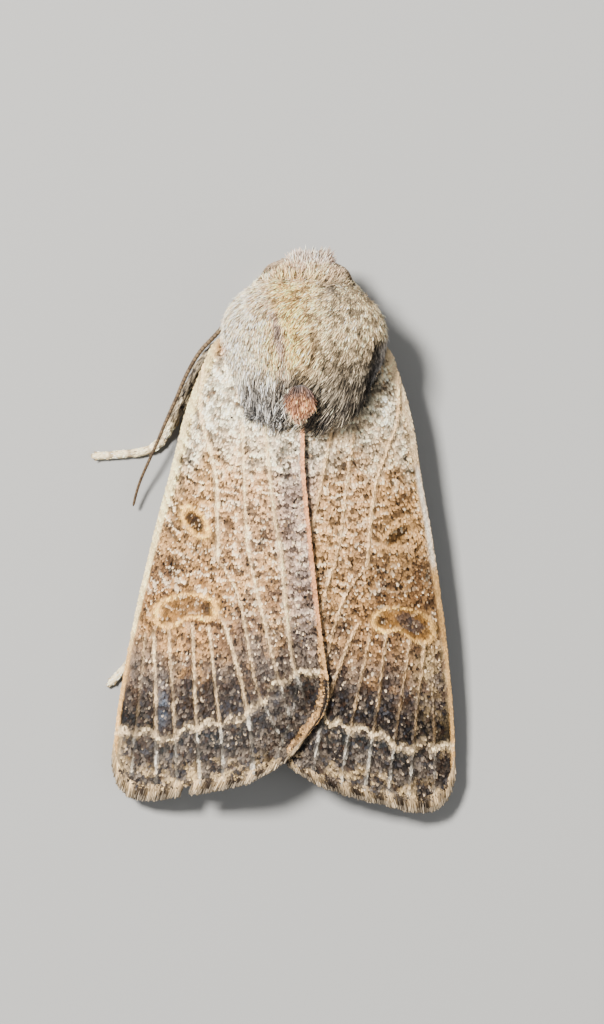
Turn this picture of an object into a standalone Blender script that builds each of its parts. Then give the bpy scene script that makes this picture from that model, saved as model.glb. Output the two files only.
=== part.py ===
"""Life-size still model of a lunar underwing moth at rest, its wings closed over its back.

The body frame is in millimetres: the head points to -Y, the moth's left is +X, the floor is z = 0.
Every solid hangs from one empty, which sets the moth down with the origin under the middle of its box.
"""

import math

import bmesh
import bpy
import numpy as np

MM = 0.001

# Clearances
GAP = 0.05  # between two pieces that meet
LAP_GAP = 0.08  # between two wings that lie on each other

# Wings
WING_THICKNESS = 0.5
WING_SHIFT = 0.06  # the left forewing sits this much further to the left than the mirror of the right one would
OVER_LIFT = 0.26  # the left forewing rides this much above the roof along the back
UNDER_DROP = 0.36  # and the right one lies this much below it
LAP_EDGE = 1.45  # half-width of the strip along the back where the forewings lie on each other
LAP_FADE = 4.2  # past this distance from the middle both forewings follow the same roof
RIDGE_ROUND = 0.25  # share of the half-width over which the ridge of the roof is rounded

# Forewing outline of a symmetric pair: across from the middle line, along towards the tail
FOREWING_COSTA = (
    (1.9, -6.9), (2.9, -6.35), (3.32, -5.5), (3.83, -4.0), (4.25, -2.0), (4.7, 0.0), (5.27, 3.0), (5.7, 6.0), (5.86, 8.0)
)
FOREWING_TERMEN = (
    (5.86, 8.0), (5.8, 8.55), (5.55, 9.1), (5.15, 9.4), (4.4, 9.42), (3.5, 9.22),
    (2.5, 9.0), (1.6, 8.75), (0.95, 8.47), (0.35, 8.1), (-0.15, 7.68), (-0.5, 7.25),
)
FOREWING_DORSUM = (
    (0.4, -5.9), (-0.12, -4.0), (-0.28, -2.0), (-0.56, 0.0), (-0.86, 2.0),
    (-1.19, 4.0), (-1.41, 5.25), (-1.3, 6.05), (-0.93, 6.65), (-0.5, 7.25),
)
HINDWING_COSTA = ((1.7, -6.2), (2.7, -4.2), (3.5, -1.0), (4.2, 2.4), (4.6, 5.0))
HINDWING_TERMEN = ((4.6, 5.0), (4.3, 6.5), (3.2, 7.1), (2.2, 6.6))
HINDWING_DORSUM = ((1.6, -5.6), (1.85, -3.4), (1.85, 0.0), (1.85, 4.0), (2.2, 6.6))

# The roof of the forewings: its ridge, its eaves and the half-width between them, at distances along the body
ROOF_AT = (-7.0, -4.0, 0.0, 4.0, 7.0, 9.5)
ROOF_RIDGE = (4.5, 4.2, 3.85, 3.3, 2.8, 2.3)
ROOF_EAVES = (2.4, 1.95, 1.6, 1.32, 1.05, 0.75)
ROOF_HALF = (3.0, 3.85, 4.8, 5.55, 5.85, 5.8)

# Body stations: along the body, half-width, top, bottom and level of the widest point
THORAX = (
    (-8.75, 1.0, 3.65, 2.95, 3.25),
    (-8.55, 1.5, 4.0, 2.8, 3.15),
    (-8.1, 2.22, 4.45, 2.15, 2.95),
    (-7.5, 2.78, 4.88, 1.5, 2.75),
    (-6.8, 3.02, 5.1, 1.25, 2.7),
    (-6.0, 2.95, 5.15, 1.25, 2.8),
    (-5.2, 2.62, 5.05, 1.5, 3.0),
    (-4.5, 2.3, 4.85, 2.4, 3.3),
    (-4.05, 1.95, 4.7, 3.1, 3.7),
    (-3.8, 1.4, 4.55, 3.7, 4.1),
)
ABDOMEN = (
    (-5.6, 1.2, 2.7, 0.9, 1.8),
    (-4.6, 1.5, 2.9, 0.55, 1.75),
    (-3.0, 1.62, 2.85, 0.45, 1.65),
    (-1.0, 1.58, 2.65, 0.45, 1.55),
    (1.0, 1.42, 2.4, 0.45, 1.45),
    (3.0, 1.15, 2.1, 0.5, 1.3),
    (4.4, 0.85, 1.8, 0.6, 1.2),
    (5.4, 0.35, 1.5, 0.85, 1.15),
)
HEAD = (
    (-7.9, 0.9, 2.9, 1.5, 2.3),
    (-8.4, 1.0, 3.05, 1.35, 2.25),
    (-8.8, 0.97, 3.0, 1.35, 2.2),
    (-9.05, 0.55, 2.65, 1.6, 2.15),
)
SECTION_POWER = 2.2  # 2 is an ellipse, more is fuller in the corners

EYE_CENTRE = (0.8, -8.5, 2.12)
EYE_RADIUS = 0.5
CREST_CENTRE = (0.03, -4.45, 4.88)
CREST_SIZE = (0.48, 0.62, 0.38)

PALP = ((0.27, -8.75, 1.5), (0.27, -9.05, 1.32), (0.29, -9.27, 1.65), (0.29, -9.3, 2.25))
PALP_RADII = (0.2, 0.25, 0.25, 0.2)

# Feelers and legs, centre lines from the root to the tip. A left limb is at +X
FEELER_RADII = (0.3, 0.26, 0.25, 0.25)
LEFT_FEELER = (
    (0.4, -8.85, 2.65), (0.75, -9.08, 2.6), (1.28, -8.9, 2.25), (1.55, -8.5, 1.8), (1.92, -8.0, 1.45),
    (2.35, -7.4, 1.3), (3.0, -6.6, 1.32), (3.55, -5.95, 1.3), (3.95, -5.2, 1.22), (4.3, -4.3, 1.12),
    (4.62, -3.5, 1.05), (4.9, -2.75, 0.98), (5.14, -2.15, 0.88), (5.36, -1.6, 0.72), (5.5, -1.15, 0.58),
    (5.62, -0.65, 0.42),
)
RIGHT_FEELER = (
    (0.4, -8.85, 2.65), (0.75, -9.08, 2.6), (1.28, -8.9, 2.25), (1.55, -8.5, 1.8), (1.92, -8.0, 1.45),
    (2.35, -7.4, 1.3), (2.6, -6.8, 1.3), (2.8, -6.2, 1.28), (3.0, -5.4, 1.15), (3.3, -4.2, 1.0),
    (3.55, -3.0, 0.9), (3.8, -1.6, 0.8), (4.05, -0.2, 0.65),
)
FORELEG = (
    (0.8, -7.2, 1.7), (1.35, -6.95, 1.0), (2.15, -7.25, 0.72), (1.95, -8.0, 0.46),
    (1.6, -8.5, 0.26), (1.2, -8.85, 0.2), (0.8, -9.1, 0.2),
)
LEFT_MIDLEG = (
    (0.9, -6.2, 1.7), (1.6, -5.95, 0.95), (2.8, -6.2, 0.68), (3.4, -5.7, 0.56), (3.8, -4.85, 0.5),
    (4.2, -4.0, 0.42), (4.58, -3.2, 0.34), (4.92, -2.72, 0.25), (5.45, -2.48, 0.2), (6.3, -2.35, 0.2),
    (7.15, -2.25, 0.2),
)
RIGHT_MIDLEG = (
    (0.9, -6.2, 1.7), (1.6, -5.95, 0.95), (2.6, -6.2, 0.68), (3.0, -5.6, 0.58), (3.15, -4.8, 0.42),
    (3.3, -3.9, 0.32), (3.45, -3.2, 0.2), (3.65, -2.0, 0.2), (3.8, -0.8, 0.2),
)
LEFT_HINDLEG = (
    (1.2, -5.5, 1.75), (1.95, -5.0, 0.98), (2.55, -3.6, 0.8), (3.1, -1.4, 0.6), (3.7, 1.0, 0.4),
    (4.2, 2.3, 0.24), (4.9, 3.6, 0.2), (5.6, 4.85, 0.2), (6.25, 5.65, 0.2),
)
RIGHT_HINDLEG = (
    (1.2, -5.5, 1.75), (1.95, -5.0, 0.98), (2.5, -3.6, 0.8), (2.9, -1.4, 0.6), (3.3, 1.0, 0.4),
    (3.6, 2.2, 0.24), (4.1, 3.4, 0.2), (4.5, 4.4, 0.2), (4.8, 5.3, 0.2),
)
THIGH_RADIUS = 0.34
FOOT_RADIUS = 0.25
LEG_TAPER_FROM = 0.3  # share of a leg's length where it starts to thin towards the foot

# Mesh density
FOREWING_GRID = (13, 25)
HINDWING_GRID = (9, 14)
BODY_SIDES = 20
LIMB_SPACING = 0.55  # between the rings of a limb

MATERIALS = {
    "thorax_fur": ((0.42, 0.34, 0.24), 0.9),
    "abdomen_fur": ((0.36, 0.29, 0.21), 0.9),
    "head_fur": ((0.38, 0.3, 0.23), 0.9),
    "eye": ((0.035, 0.025, 0.02), 0.25),
    "feeler": ((0.4, 0.32, 0.22), 0.8),
    "forewing": ((0.4, 0.29, 0.19), 0.8),
    "hindwing": ((0.33, 0.29, 0.24), 0.85),
    "leg": ((0.44, 0.37, 0.26), 0.85),
}


def clear_scene():
    for thing in list(bpy.data.objects):
        bpy.data.objects.remove(thing, do_unlink=True)


def smooth_line(points, count):
    """Points spread evenly along a Catmull-Rom curve through the given ones."""
    given = np.array(points, float)
    padded = np.vstack([2 * given[0] - given[1], given, 2 * given[-1] - given[-2]])
    share = np.linspace(0, 1, 24, endpoint=False)[:, None]
    dense = []
    for before, start, end, after in zip(padded, padded[1:], padded[2:], padded[3:]):
        dense.append(
            0.5 * (
                2 * start
                + (end - before) * share
                + (2 * before - 5 * start + 4 * end - after) * share**2
                + (3 * start - before - 3 * end + after) * share**3
            )
        )
    dense = np.vstack([*dense, given[-1:]])
    walked = np.concatenate([[0], np.cumsum(np.linalg.norm(np.diff(dense, axis=0), axis=1))])
    at = np.linspace(0, walked[-1], count)
    return np.stack([np.interp(at, walked, dense[:, k]) for k in range(given.shape[1])], axis=1)


def smooth_value(at, stations, values):
    """A value that passes smoothly through the values given at the stations."""
    line = smooth_line(list(zip(stations, values)), 400)
    return np.interp(at, line[:, 0], line[:, 1])


def ease(value):
    value = np.clip(value, 0, 1)
    return value * value * (3 - 2 * value)


def collection_for(name):
    made = bpy.data.collections.new(name)
    bpy.context.scene.collection.children.link(made)
    return made


def material_for(name):
    """A plain Principled material in the colour and roughness listed for the name."""
    if name in bpy.data.materials:
        return bpy.data.materials[name]
    colour, roughness = MATERIALS[name]
    made = bpy.data.materials.new(name)
    made.use_nodes = True
    shader = made.node_tree.nodes["Principled BSDF"]
    shader.inputs["Base Color"].default_value = (*colour, 1)
    shader.inputs["Roughness"].default_value = roughness
    made.diffuse_color = (*colour, 1)
    return made


def object_from(name, vertices, faces, collection):
    mesh = bpy.data.meshes.new(name)
    mesh.from_pydata((np.asarray(vertices) * MM).tolist(), [], faces)
    mesh.shade_smooth()
    made = bpy.data.objects.new(name, mesh)
    collection.objects.link(made)
    return made


def helper(thing):
    """Marks an object as a cutter, which is no part of the moth."""
    thing.hide_render = True
    thing.display_type = "WIRE"
    return thing


def cut(thing, *cutters):
    for cutter in cutters:
        boolean = thing.modifiers.new("cut_" + cutter.name, "BOOLEAN")
        boolean.operation = "DIFFERENCE"
        boolean.solver = "EXACT"
        boolean.object = cutter


def roof(across, along):
    """Height of the closed wings over the body: a rounded ridge that falls away to the eaves."""
    ridge = smooth_value(along, ROOF_AT, ROOF_RIDGE)
    eaves = smooth_value(along, ROOF_AT, ROOF_EAVES)
    share = across / smooth_value(along, ROOF_AT, ROOF_HALF)
    rounded = np.sqrt(share**2 + RIDGE_ROUND**2) - RIDGE_ROUND
    rounded /= math.sqrt(1 + RIDGE_ROUND**2) - RIDGE_ROUND
    return ridge - (ridge - eaves) * (0.5 * rounded + 0.5 * share**2)


def forewing_top(across, along, side):
    """The roof, parted along the back so that the left forewing lies over the right one."""
    fade = 1 - ease((across * side - LAP_EDGE) / (LAP_FADE - LAP_EDGE))
    return roof(across, along) + (OVER_LIFT if side > 0 else -UNDER_DROP) * fade


def hindwing_top(across, along, side):
    """A forewing's underside, less a gap."""
    step = 0.02
    slope = (forewing_top(across + step, along, side) - forewing_top(across - step, along, side)) / (2 * step)
    return forewing_top(across, along, side) - WING_THICKNESS * np.sqrt(1 + slope**2) - LAP_GAP


def wing_plan(costa, termen, dorsum, grid, side):
    """A Coons patch between the wing's four edges, as (columns, rows, 2) points seen from above."""
    columns, rows = grid
    front = smooth_line(costa, rows)
    back = smooth_line(dorsum, rows)
    outer = smooth_line(termen, columns)
    inner = smooth_line((costa[0], dorsum[0]), columns)
    u = np.linspace(0, 1, columns)[:, None, None]
    v = np.linspace(0, 1, rows)[None, :, None]
    corners = (1 - u) * (1 - v) * front[0] + u * (1 - v) * back[0] + (1 - u) * v * front[-1] + u * v * back[-1]
    plan = (1 - u) * front + u * back + (1 - v) * inner[:, None] + v * outer[:, None] - corners
    plan[..., 0] += side * WING_SHIFT
    plan[..., 0] *= side
    return plan


def wing(name, edges, grid, top, side, collection):
    """A curved sheet over the wing's plan, thickened downwards."""
    plan = wing_plan(*edges, grid, side)
    heights = top(plan[..., 0], plan[..., 1], side)
    vertices = np.concatenate([plan, heights[..., None]], axis=2).reshape(-1, 3)
    columns, rows = grid
    faces = []
    for column in range(columns - 1):
        for row in range(rows - 1):
            corner = column * rows + row
            face = (corner, corner + 1, corner + rows + 1, corner + rows)
            faces.append(face if side > 0 else face[::-1])
    made = object_from(name, vertices, faces, collection)
    solidify = made.modifiers.new("thickness", "SOLIDIFY")
    solidify.thickness = WING_THICKNESS * MM
    solidify.offset = -1
    solidify.use_even_offset = True
    return made


def lofted(name, stations, collection, grow=0.0, count=None):
    """A closed form through superellipse sections, which stand across the body."""
    rows = count or 3 * len(stations)
    line = smooth_line(stations, rows)
    angle = np.linspace(0, 2 * math.pi, BODY_SIDES, endpoint=False)
    power = 2 / SECTION_POWER
    out = np.sign(np.cos(angle)) * np.abs(np.cos(angle)) ** power
    up = np.sign(np.sin(angle)) * np.abs(np.sin(angle)) ** power
    rings = []
    for along, half, top, bottom, level in line:
        reach = np.where(up > 0, top + grow - level, level - bottom + grow)
        rings.append(np.stack([out * (half + grow), np.full_like(out, along), level + up * reach], axis=1))
    ends = [rings[0].mean(axis=0), rings[-1].mean(axis=0)]
    direction = math.copysign(1, line[-1, 0] - line[0, 0])
    ends[0][1] -= direction * (grow + 0.1)
    ends[1][1] += direction * (grow + 0.1)
    vertices = np.vstack([*rings, *ends])
    faces = []
    first_pole, last_pole = len(vertices) - 2, len(vertices) - 1
    for side in range(BODY_SIDES):
        after = (side + 1) % BODY_SIDES
        for row in range(rows - 1):
            low, high = row * BODY_SIDES, (row + 1) * BODY_SIDES
            faces.append((low + side, high + side, high + after, low + after))
        faces.append((first_pole, side, after))
        faces.append((last_pole, (rows - 1) * BODY_SIDES + after, (rows - 1) * BODY_SIDES + side))
    if direction < 0:
        faces = [face[::-1] for face in faces]
    return object_from(name, vertices, faces, collection)


def ball(name, centre, size, collection, grow=0.0):
    bpy.ops.mesh.primitive_uv_sphere_add(segments=16, ring_count=10, radius=MM)
    made = bpy.context.object
    made.name = name
    radii = np.broadcast_to(size, 3) + grow
    points = np.array([vertex.co for vertex in made.data.vertices])
    points = points * radii + np.array(centre) * MM
    made.data.vertices.foreach_set("co", points.astype(np.float32).ravel())
    made.data.shade_smooth()
    for owner in list(made.users_collection):
        owner.objects.unlink(made)
    collection.objects.link(made)
    return made


def limb(name, points, radii, side, collection, sides=8):
    """A bevelled curve along the centre line, made a closed mesh so that it can be cut."""
    line = np.array(points, float) * (side, 1, 1)
    length = np.linalg.norm(np.diff(line, axis=0), axis=1).sum()
    count = max(6, round(length / LIMB_SPACING))
    line = smooth_line(line, count)
    width = np.interp(np.linspace(0, 1, count), np.linspace(0, 1, len(radii)), radii)
    curve = bpy.data.curves.new(name, "CURVE")
    curve.dimensions = "3D"
    curve.bevel_depth = MM
    curve.bevel_resolution = (sides - 4) // 2
    curve.use_fill_caps = True
    spline = curve.splines.new("POLY")
    spline.points.add(count - 1)
    for point, place, radius in zip(spline.points, line, width):
        point.co = (*(place * MM), 1)
        point.radius = radius
    tube = bpy.data.objects.new(name + "_line", curve)
    collection.objects.link(tube)
    graph = bpy.context.evaluated_depsgraph_get()
    mesh = bpy.data.meshes.new_from_object(tube.evaluated_get(graph))
    bpy.data.objects.remove(tube)
    shape = bmesh.new()
    shape.from_mesh(mesh)
    bmesh.ops.remove_doubles(shape, verts=shape.verts, dist=0.002 * MM)
    bmesh.ops.recalc_face_normals(shape, faces=shape.faces)
    shape.to_mesh(mesh)
    shape.free()
    mesh.shade_smooth()
    made = bpy.data.objects.new(name, mesh)
    collection.objects.link(made)
    return made


def leg_radii():
    """Radii along a leg: the thigh and shin, then an even taper to the foot."""
    shares = np.linspace(0, 1, 12)
    thinning = ease((shares - LEG_TAPER_FROM) / (1 - LEG_TAPER_FROM) * 1.3)
    return THIGH_RADIUS + (FOOT_RADIUS - THIGH_RADIUS) * thinning


def floor_block(collection):
    """A cutter whose top is the floor: it gives each foot its flat."""
    bpy.ops.mesh.primitive_cube_add(size=40 * MM, location=(0, 0, -20 * MM))
    block = bpy.context.object
    block.name = "floor_block"
    for owner in list(block.users_collection):
        owner.objects.unlink(block)
    collection.objects.link(block)
    return helper(block)


def add_crest(thing, collection, grow):
    """Joins the tuft at the back of the thorax to the form it stands on."""
    crest = helper(ball(thing.name + "_crest", CREST_CENTRE, CREST_SIZE, collection, grow))
    joined = thing.modifiers.new("crest", "BOOLEAN")
    joined.operation = "UNION"
    joined.solver = "EXACT"
    joined.object = crest


def build_body(parts, cutters):
    thorax = lofted("thorax", THORAX, parts)
    add_crest(thorax, cutters, 0)
    thorax_room = helper(lofted("thorax_room", THORAX, cutters, GAP))
    add_crest(thorax_room, cutters, GAP)
    abdomen = lofted("abdomen", ABDOMEN, parts, count=20)
    cut(abdomen, thorax_room)
    head = lofted("head", HEAD, parts, count=9)
    head_room = helper(lofted("head_room", HEAD, cutters, GAP, count=9))
    cut(head, thorax_room)
    eye_rooms = []
    for word, side in (("left", 1), ("right", -1)):
        centre = np.array(EYE_CENTRE) * (side, 1, 1)
        eye = ball("eye_" + word, centre, EYE_RADIUS, parts)
        cut(eye, thorax_room)
        eye_room = helper(ball("eye_room_" + word, centre, EYE_RADIUS, cutters, GAP))
        cut(head, eye_room)
        eye_rooms.append(eye_room)
        eye.data.materials.append(material_for("eye"))
    for thing, finish in ((thorax, "thorax_fur"), (abdomen, "abdomen_fur"), (head, "head_fur")):
        thing.data.materials.append(material_for(finish))
    return thorax_room, head_room, eye_rooms


def build_wings(parts, thorax_room):
    forewing_edges = (FOREWING_COSTA, FOREWING_TERMEN, FOREWING_DORSUM)
    hindwing_edges = (HINDWING_COSTA, HINDWING_TERMEN, HINDWING_DORSUM)
    for word, side in (("left", 1), ("right", -1)):
        forewing = wing("forewing_" + word, forewing_edges, FOREWING_GRID, forewing_top, side, parts)
        hindwing = wing("hindwing_" + word, hindwing_edges, HINDWING_GRID, hindwing_top, side, parts)
        forewing.data.materials.append(material_for("forewing"))
        hindwing.data.materials.append(material_for("hindwing"))
        cut(forewing, thorax_room)
        cut(hindwing, thorax_room)


def build_limbs(parts, cutters, thorax_room, head_room, eye_rooms):
    floor = floor_block(cutters)
    legs = {
        "foreleg": (FORELEG, FORELEG),
        "midleg": (LEFT_MIDLEG, RIGHT_MIDLEG),
        "hindleg": (LEFT_HINDLEG, RIGHT_HINDLEG),
    }
    for index, (word, side) in enumerate((("left", 1), ("right", -1))):
        for name, lines in legs.items():
            leg = limb(f"{name}_{word}", lines[index], leg_radii(), side, parts)
            cut(leg, thorax_room, floor)
            leg.data.materials.append(material_for("leg"))
        feeler_line = (LEFT_FEELER, RIGHT_FEELER)[index]
        feeler = limb("antenna_" + word, feeler_line, FEELER_RADII, side, parts, sides=6)
        cut(feeler, head_room, thorax_room, eye_rooms[index])
        feeler.data.materials.append(material_for("feeler"))
        palp = limb("palp_" + word, PALP, PALP_RADII, side, parts)
        cut(palp, head_room, eye_rooms[index])
        palp.data.materials.append(material_for("head_fur"))


def set_down(parts):
    """Hangs every solid from one empty and moves it, so that the origin is under the middle of the box."""
    root = bpy.data.objects.new("moth", None)
    bpy.context.scene.collection.objects.link(root)
    bpy.context.view_layer.update()
    graph = bpy.context.evaluated_depsgraph_get()
    corners = []
    for thing in parts.objects:
        evaluated = thing.evaluated_get(graph)
        shape = evaluated.to_mesh()
        points = np.empty(len(shape.vertices) * 3, np.float32)
        shape.vertices.foreach_get("co", points)
        evaluated.to_mesh_clear()
        points = points.reshape(-1, 3)
        corners += [points.min(axis=0), points.max(axis=0)]
        thing.parent = root
    low, high = np.min(corners, axis=0), np.max(corners, axis=0)
    root.location = (-(low[0] + high[0]) / 2, -(low[1] + high[1]) / 2, -low[2])


def main():
    clear_scene()
    parts = collection_for("moth_parts")
    cutters = collection_for("cutters")
    thorax_room, head_room, eye_rooms = build_body(parts, cutters)
    build_wings(parts, thorax_room)
    build_limbs(parts, cutters, thorax_room, head_room, eye_rooms)
    set_down(parts)
    for room in cutters.objects:
        room.parent = bpy.data.objects["moth"]


main()
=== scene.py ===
import math

import bpy
import numpy as np
from mathutils import Matrix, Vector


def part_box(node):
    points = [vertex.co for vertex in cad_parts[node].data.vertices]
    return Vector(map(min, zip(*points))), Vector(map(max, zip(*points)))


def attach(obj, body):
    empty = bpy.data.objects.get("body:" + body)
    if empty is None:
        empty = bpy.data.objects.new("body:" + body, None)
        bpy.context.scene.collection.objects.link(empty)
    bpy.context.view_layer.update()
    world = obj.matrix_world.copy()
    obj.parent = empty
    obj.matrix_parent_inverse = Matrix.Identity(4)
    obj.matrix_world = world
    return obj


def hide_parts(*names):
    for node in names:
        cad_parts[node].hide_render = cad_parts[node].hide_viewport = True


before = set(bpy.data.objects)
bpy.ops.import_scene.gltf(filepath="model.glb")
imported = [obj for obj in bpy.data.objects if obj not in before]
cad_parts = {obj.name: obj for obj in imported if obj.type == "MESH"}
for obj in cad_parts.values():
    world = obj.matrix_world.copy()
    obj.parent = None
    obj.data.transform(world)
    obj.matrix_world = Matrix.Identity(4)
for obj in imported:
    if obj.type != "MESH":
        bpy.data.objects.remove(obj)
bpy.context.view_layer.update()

# All shapes below are worked out in millimetres in the moth's own frame, as in the part's source:
# the head points to -y, the moth's left is +x and the floor is z = 0. inMetres() sets them on the solids.
millimetre = 0.001
sides = (("left", 1), ("right", -1))
thoraxLow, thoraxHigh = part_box("thorax")
thoraxRear = -3.7  # where the thorax solid ends in the moth's own frame
setDown = np.array([(thoraxLow.x + thoraxHigh.x) / 2, thoraxHigh.y - thoraxRear * millimetre, 0])


def inMetres(points):
    return np.asarray(points) * millimetre + setDown


def ease(value):  # a smooth step from 0 to 1
    value = np.clip(value, 0, 1)
    return value * value * (3 - 2 * value)


def hump(value, centre, width):  # a bell of height 1
    return np.exp(-(((value - centre) / width) ** 2))


def bell(random, *shape):  # normal draws without the far tails
    return np.clip(random.standard_normal(shape), -1.8, 1.8)


def vectors(x, y, z):  # whole arrays or single numbers as points
    return np.stack(np.broadcast_arrays(x, y, z), axis=-1)


def flat(x, y):  # plan coordinates as points for the noise
    return vectors(x, y, 0.0)


def unit(directions):
    return directions / np.maximum(np.linalg.norm(directions, axis=-1, keepdims=True), 1e-12)


def smoothLine(points, count):  # count points spread evenly along a Catmull-Rom curve through the given ones
    given = np.array(points, float)
    padded = np.vstack([2 * given[0] - given[1], given, 2 * given[-1] - given[-2]])
    share = np.linspace(0, 1, 24, endpoint=False)[:, None]
    dense = [
        0.5 * (
            2 * start
            + (end - before) * share
            + (2 * before - 5 * start + 4 * end - after) * share**2
            + (3 * start - before - 3 * end + after) * share**3
        )
        for before, start, end, after in zip(padded, padded[1:], padded[2:], padded[3:])
    ]
    dense = np.vstack([*dense, given[-1:]])
    walked = np.concatenate([[0], np.cumsum(np.linalg.norm(np.diff(dense, axis=0), axis=1))])
    at = np.linspace(0, walked[-1], count)
    return np.stack([np.interp(at, walked, column) for column in dense.T], axis=1)


def along(line, share):  # the points of a dense line at shares 0 to 1 of its length
    at = np.clip(share, 0, 1) * (len(line) - 1)
    return np.stack([np.interp(at, np.arange(len(line)), column) for column in line.T], axis=-1)


def lineAt(y, line):  # how far out a line of the plan is at y
    return np.interp(y, line[:, 1], line[:, 0])


noiseTable = np.random.default_rng(7).random((64, 64, 64)).astype(np.float32)


def noise(points, size, seed=0):  # smooth random values 0 to 1, with lumps of the given size
    at = np.asarray(points) / size + seed * 17.31
    low = np.floor(at).astype(int)
    part = at - low
    part = part * part * (3 - 2 * part)
    total = 0
    for corner in np.ndindex(2, 2, 2):
        index = (low + corner) % 64
        weight = np.prod(np.where(corner, part, 1 - part), axis=-1)
        total = total + weight * noiseTable[index[..., 0], index[..., 1], index[..., 2]]
    return total


def mottle(points, size, seed=0):  # three sizes of noise together, spread around 0.5
    return 0.55 * noise(points, size, seed) + 0.3 * noise(points, size / 2.1, seed + 1) \
        + 0.15 * noise(points, size / 4.3, seed + 2)


# Colours are written 0 to 255 as seen, and kept as linear light.
toneDepth = 1.42  # over 1 deepens the darker colours, to make up for the soft contrast of the finished render


def tone(red, green, blue):
    share = np.array([red, green, blue]) / 255
    linear = np.where(share <= 0.04045, share / 12.92, ((share + 0.055) / 1.055) ** 2.4)
    return linear ** toneDepth


def over(base, colour, mask):  # lays a colour on others where the mask is 1
    mask = np.clip(mask, 0, 1)[..., None]
    return base * (1 - mask) + colour * mask


def laid(base, tones, layers):  # lays named tones on a colour in turn, each where its mask is 1
    for name, mask in layers:
        base = over(base, tones[name], mask)
    return base


def tuftPaint(rootColour, tipColour, share, brightness):
    # root to tip along each blade, times each blade's own brightness
    root, tip = np.atleast_2d(rootColour)[:, None], np.atleast_2d(tipColour)[:, None]
    mixed = root * (1 - share[None, :, None]) + tip * share[None, :, None]
    return (mixed * brightness[:, None, None]).reshape(-1, 3)


def placed(name, data):  # a new object in the scene
    piece = bpy.data.objects.new(name, data)
    bpy.context.scene.collection.objects.link(piece)
    return piece


def finish(name, points, faces, material, nodes, paint=None, uv=None, smooth=True):
    mesh = bpy.data.meshes.new(name)
    mesh.from_pydata(inMetres(points), [], faces)
    if smooth:
        mesh.shade_smooth()
    if paint is not None:
        colours = np.ones((len(points), 4), np.float32)
        colours[:, :3] = np.clip(paint, 0, 1)
        mesh.attributes.new("paint", "FLOAT_COLOR", "POINT").data.foreach_set("color", colours.ravel())
    if uv is not None:
        corner = np.empty(len(mesh.loops), np.int32)
        mesh.loops.foreach_get("vertex_index", corner)
        uvMap = mesh.uv_layers.new(name="OFBake")
        uvMap.uv.foreach_set("vector", np.clip(uv, 0, 1)[corner].astype(np.float32).ravel())
    piece = placed(name, mesh)
    mesh.materials.append(material)
    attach(piece, "root")
    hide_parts(*nodes)
    print(f"{name}: {len(mesh.polygons)} faces")


def mapUv(u, v):  # shares 0 to 1, kept a little inside the map's edges
    return np.stack([u, v], axis=-1) * 0.96 + 0.02


def gridFaces(rows, columns, closed=False):  # four-cornered faces of a grid of rows x columns points
    across = columns if closed else columns - 1
    row, column = np.meshgrid(np.arange(rows - 1), np.arange(across), indexing="ij")
    after = (column + 1) % columns
    a, b = row * columns + column, row * columns + after
    c, d = (row + 1) * columns + after, (row + 1) * columns + column
    return np.stack([a, b, c, d], axis=-1).reshape(-1, 4)


def framesOn(surface, u, v):
    # point, outward direction, and the directions of growing u and v, by differences on the surface
    step = 0.002
    here = surface(u, v)
    alongU = surface(u + step, v) - surface(u - step, v)
    alongV = surface(u, v + step) - surface(u, v - step)
    return here, unit(np.cross(alongU, alongV)), unit(alongU), unit(alongV)


def outwardFrom(points, outward, middle):  # turns the directions that point inwards
    away = ((points - middle) * outward).sum(axis=1)
    return outward * np.where(away < 0, -1, 1)[:, None]


def scatter(surface, count, random, weight=None):
    # random (u, v), spread evenly over the surface's area, or more densely where the weight is higher
    cells = 90
    u, v = np.meshgrid(*[(np.arange(cells) + 0.5) / cells] * 2, indexing="ij")
    here = surface(u, v)
    alongU = surface(u + 0.5 / cells, v) - here
    alongV = surface(u, v + 0.5 / cells) - here
    area = np.linalg.norm(np.cross(alongU, alongV), axis=-1)
    if weight is not None:
        area = area * weight(here)
    chance = (area / area.sum()).ravel()
    cell = random.choice(chance.size, count, p=chance)
    jitter = random.random((2, count)) - 0.5
    return u.ravel()[cell] + jitter[0] / cells, v.ravel()[cell] + jitter[1] / cells


def rootsOn(surface, count, random, middle, weight=None, edge=0.003):
    # places scattered over a surface, with their outward directions
    u, v = scatter(surface, count, random, weight)
    here, outward, _, _ = framesOn(surface, np.clip(u, edge, 1 - edge), v)
    return here, outwardFrom(here, outward, middle)


def rootsOnTube(surface, u, v, last=0.99):  # the same at given places of a tube, and the tube's direction
    here, outward, flow, _ = framesOn(surface, np.clip(u, 0.01, last), v)
    return here, outwardFrom(here, outward, 0.5 * (surface(u, v) + surface(u, v + 0.5))), flow


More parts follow.
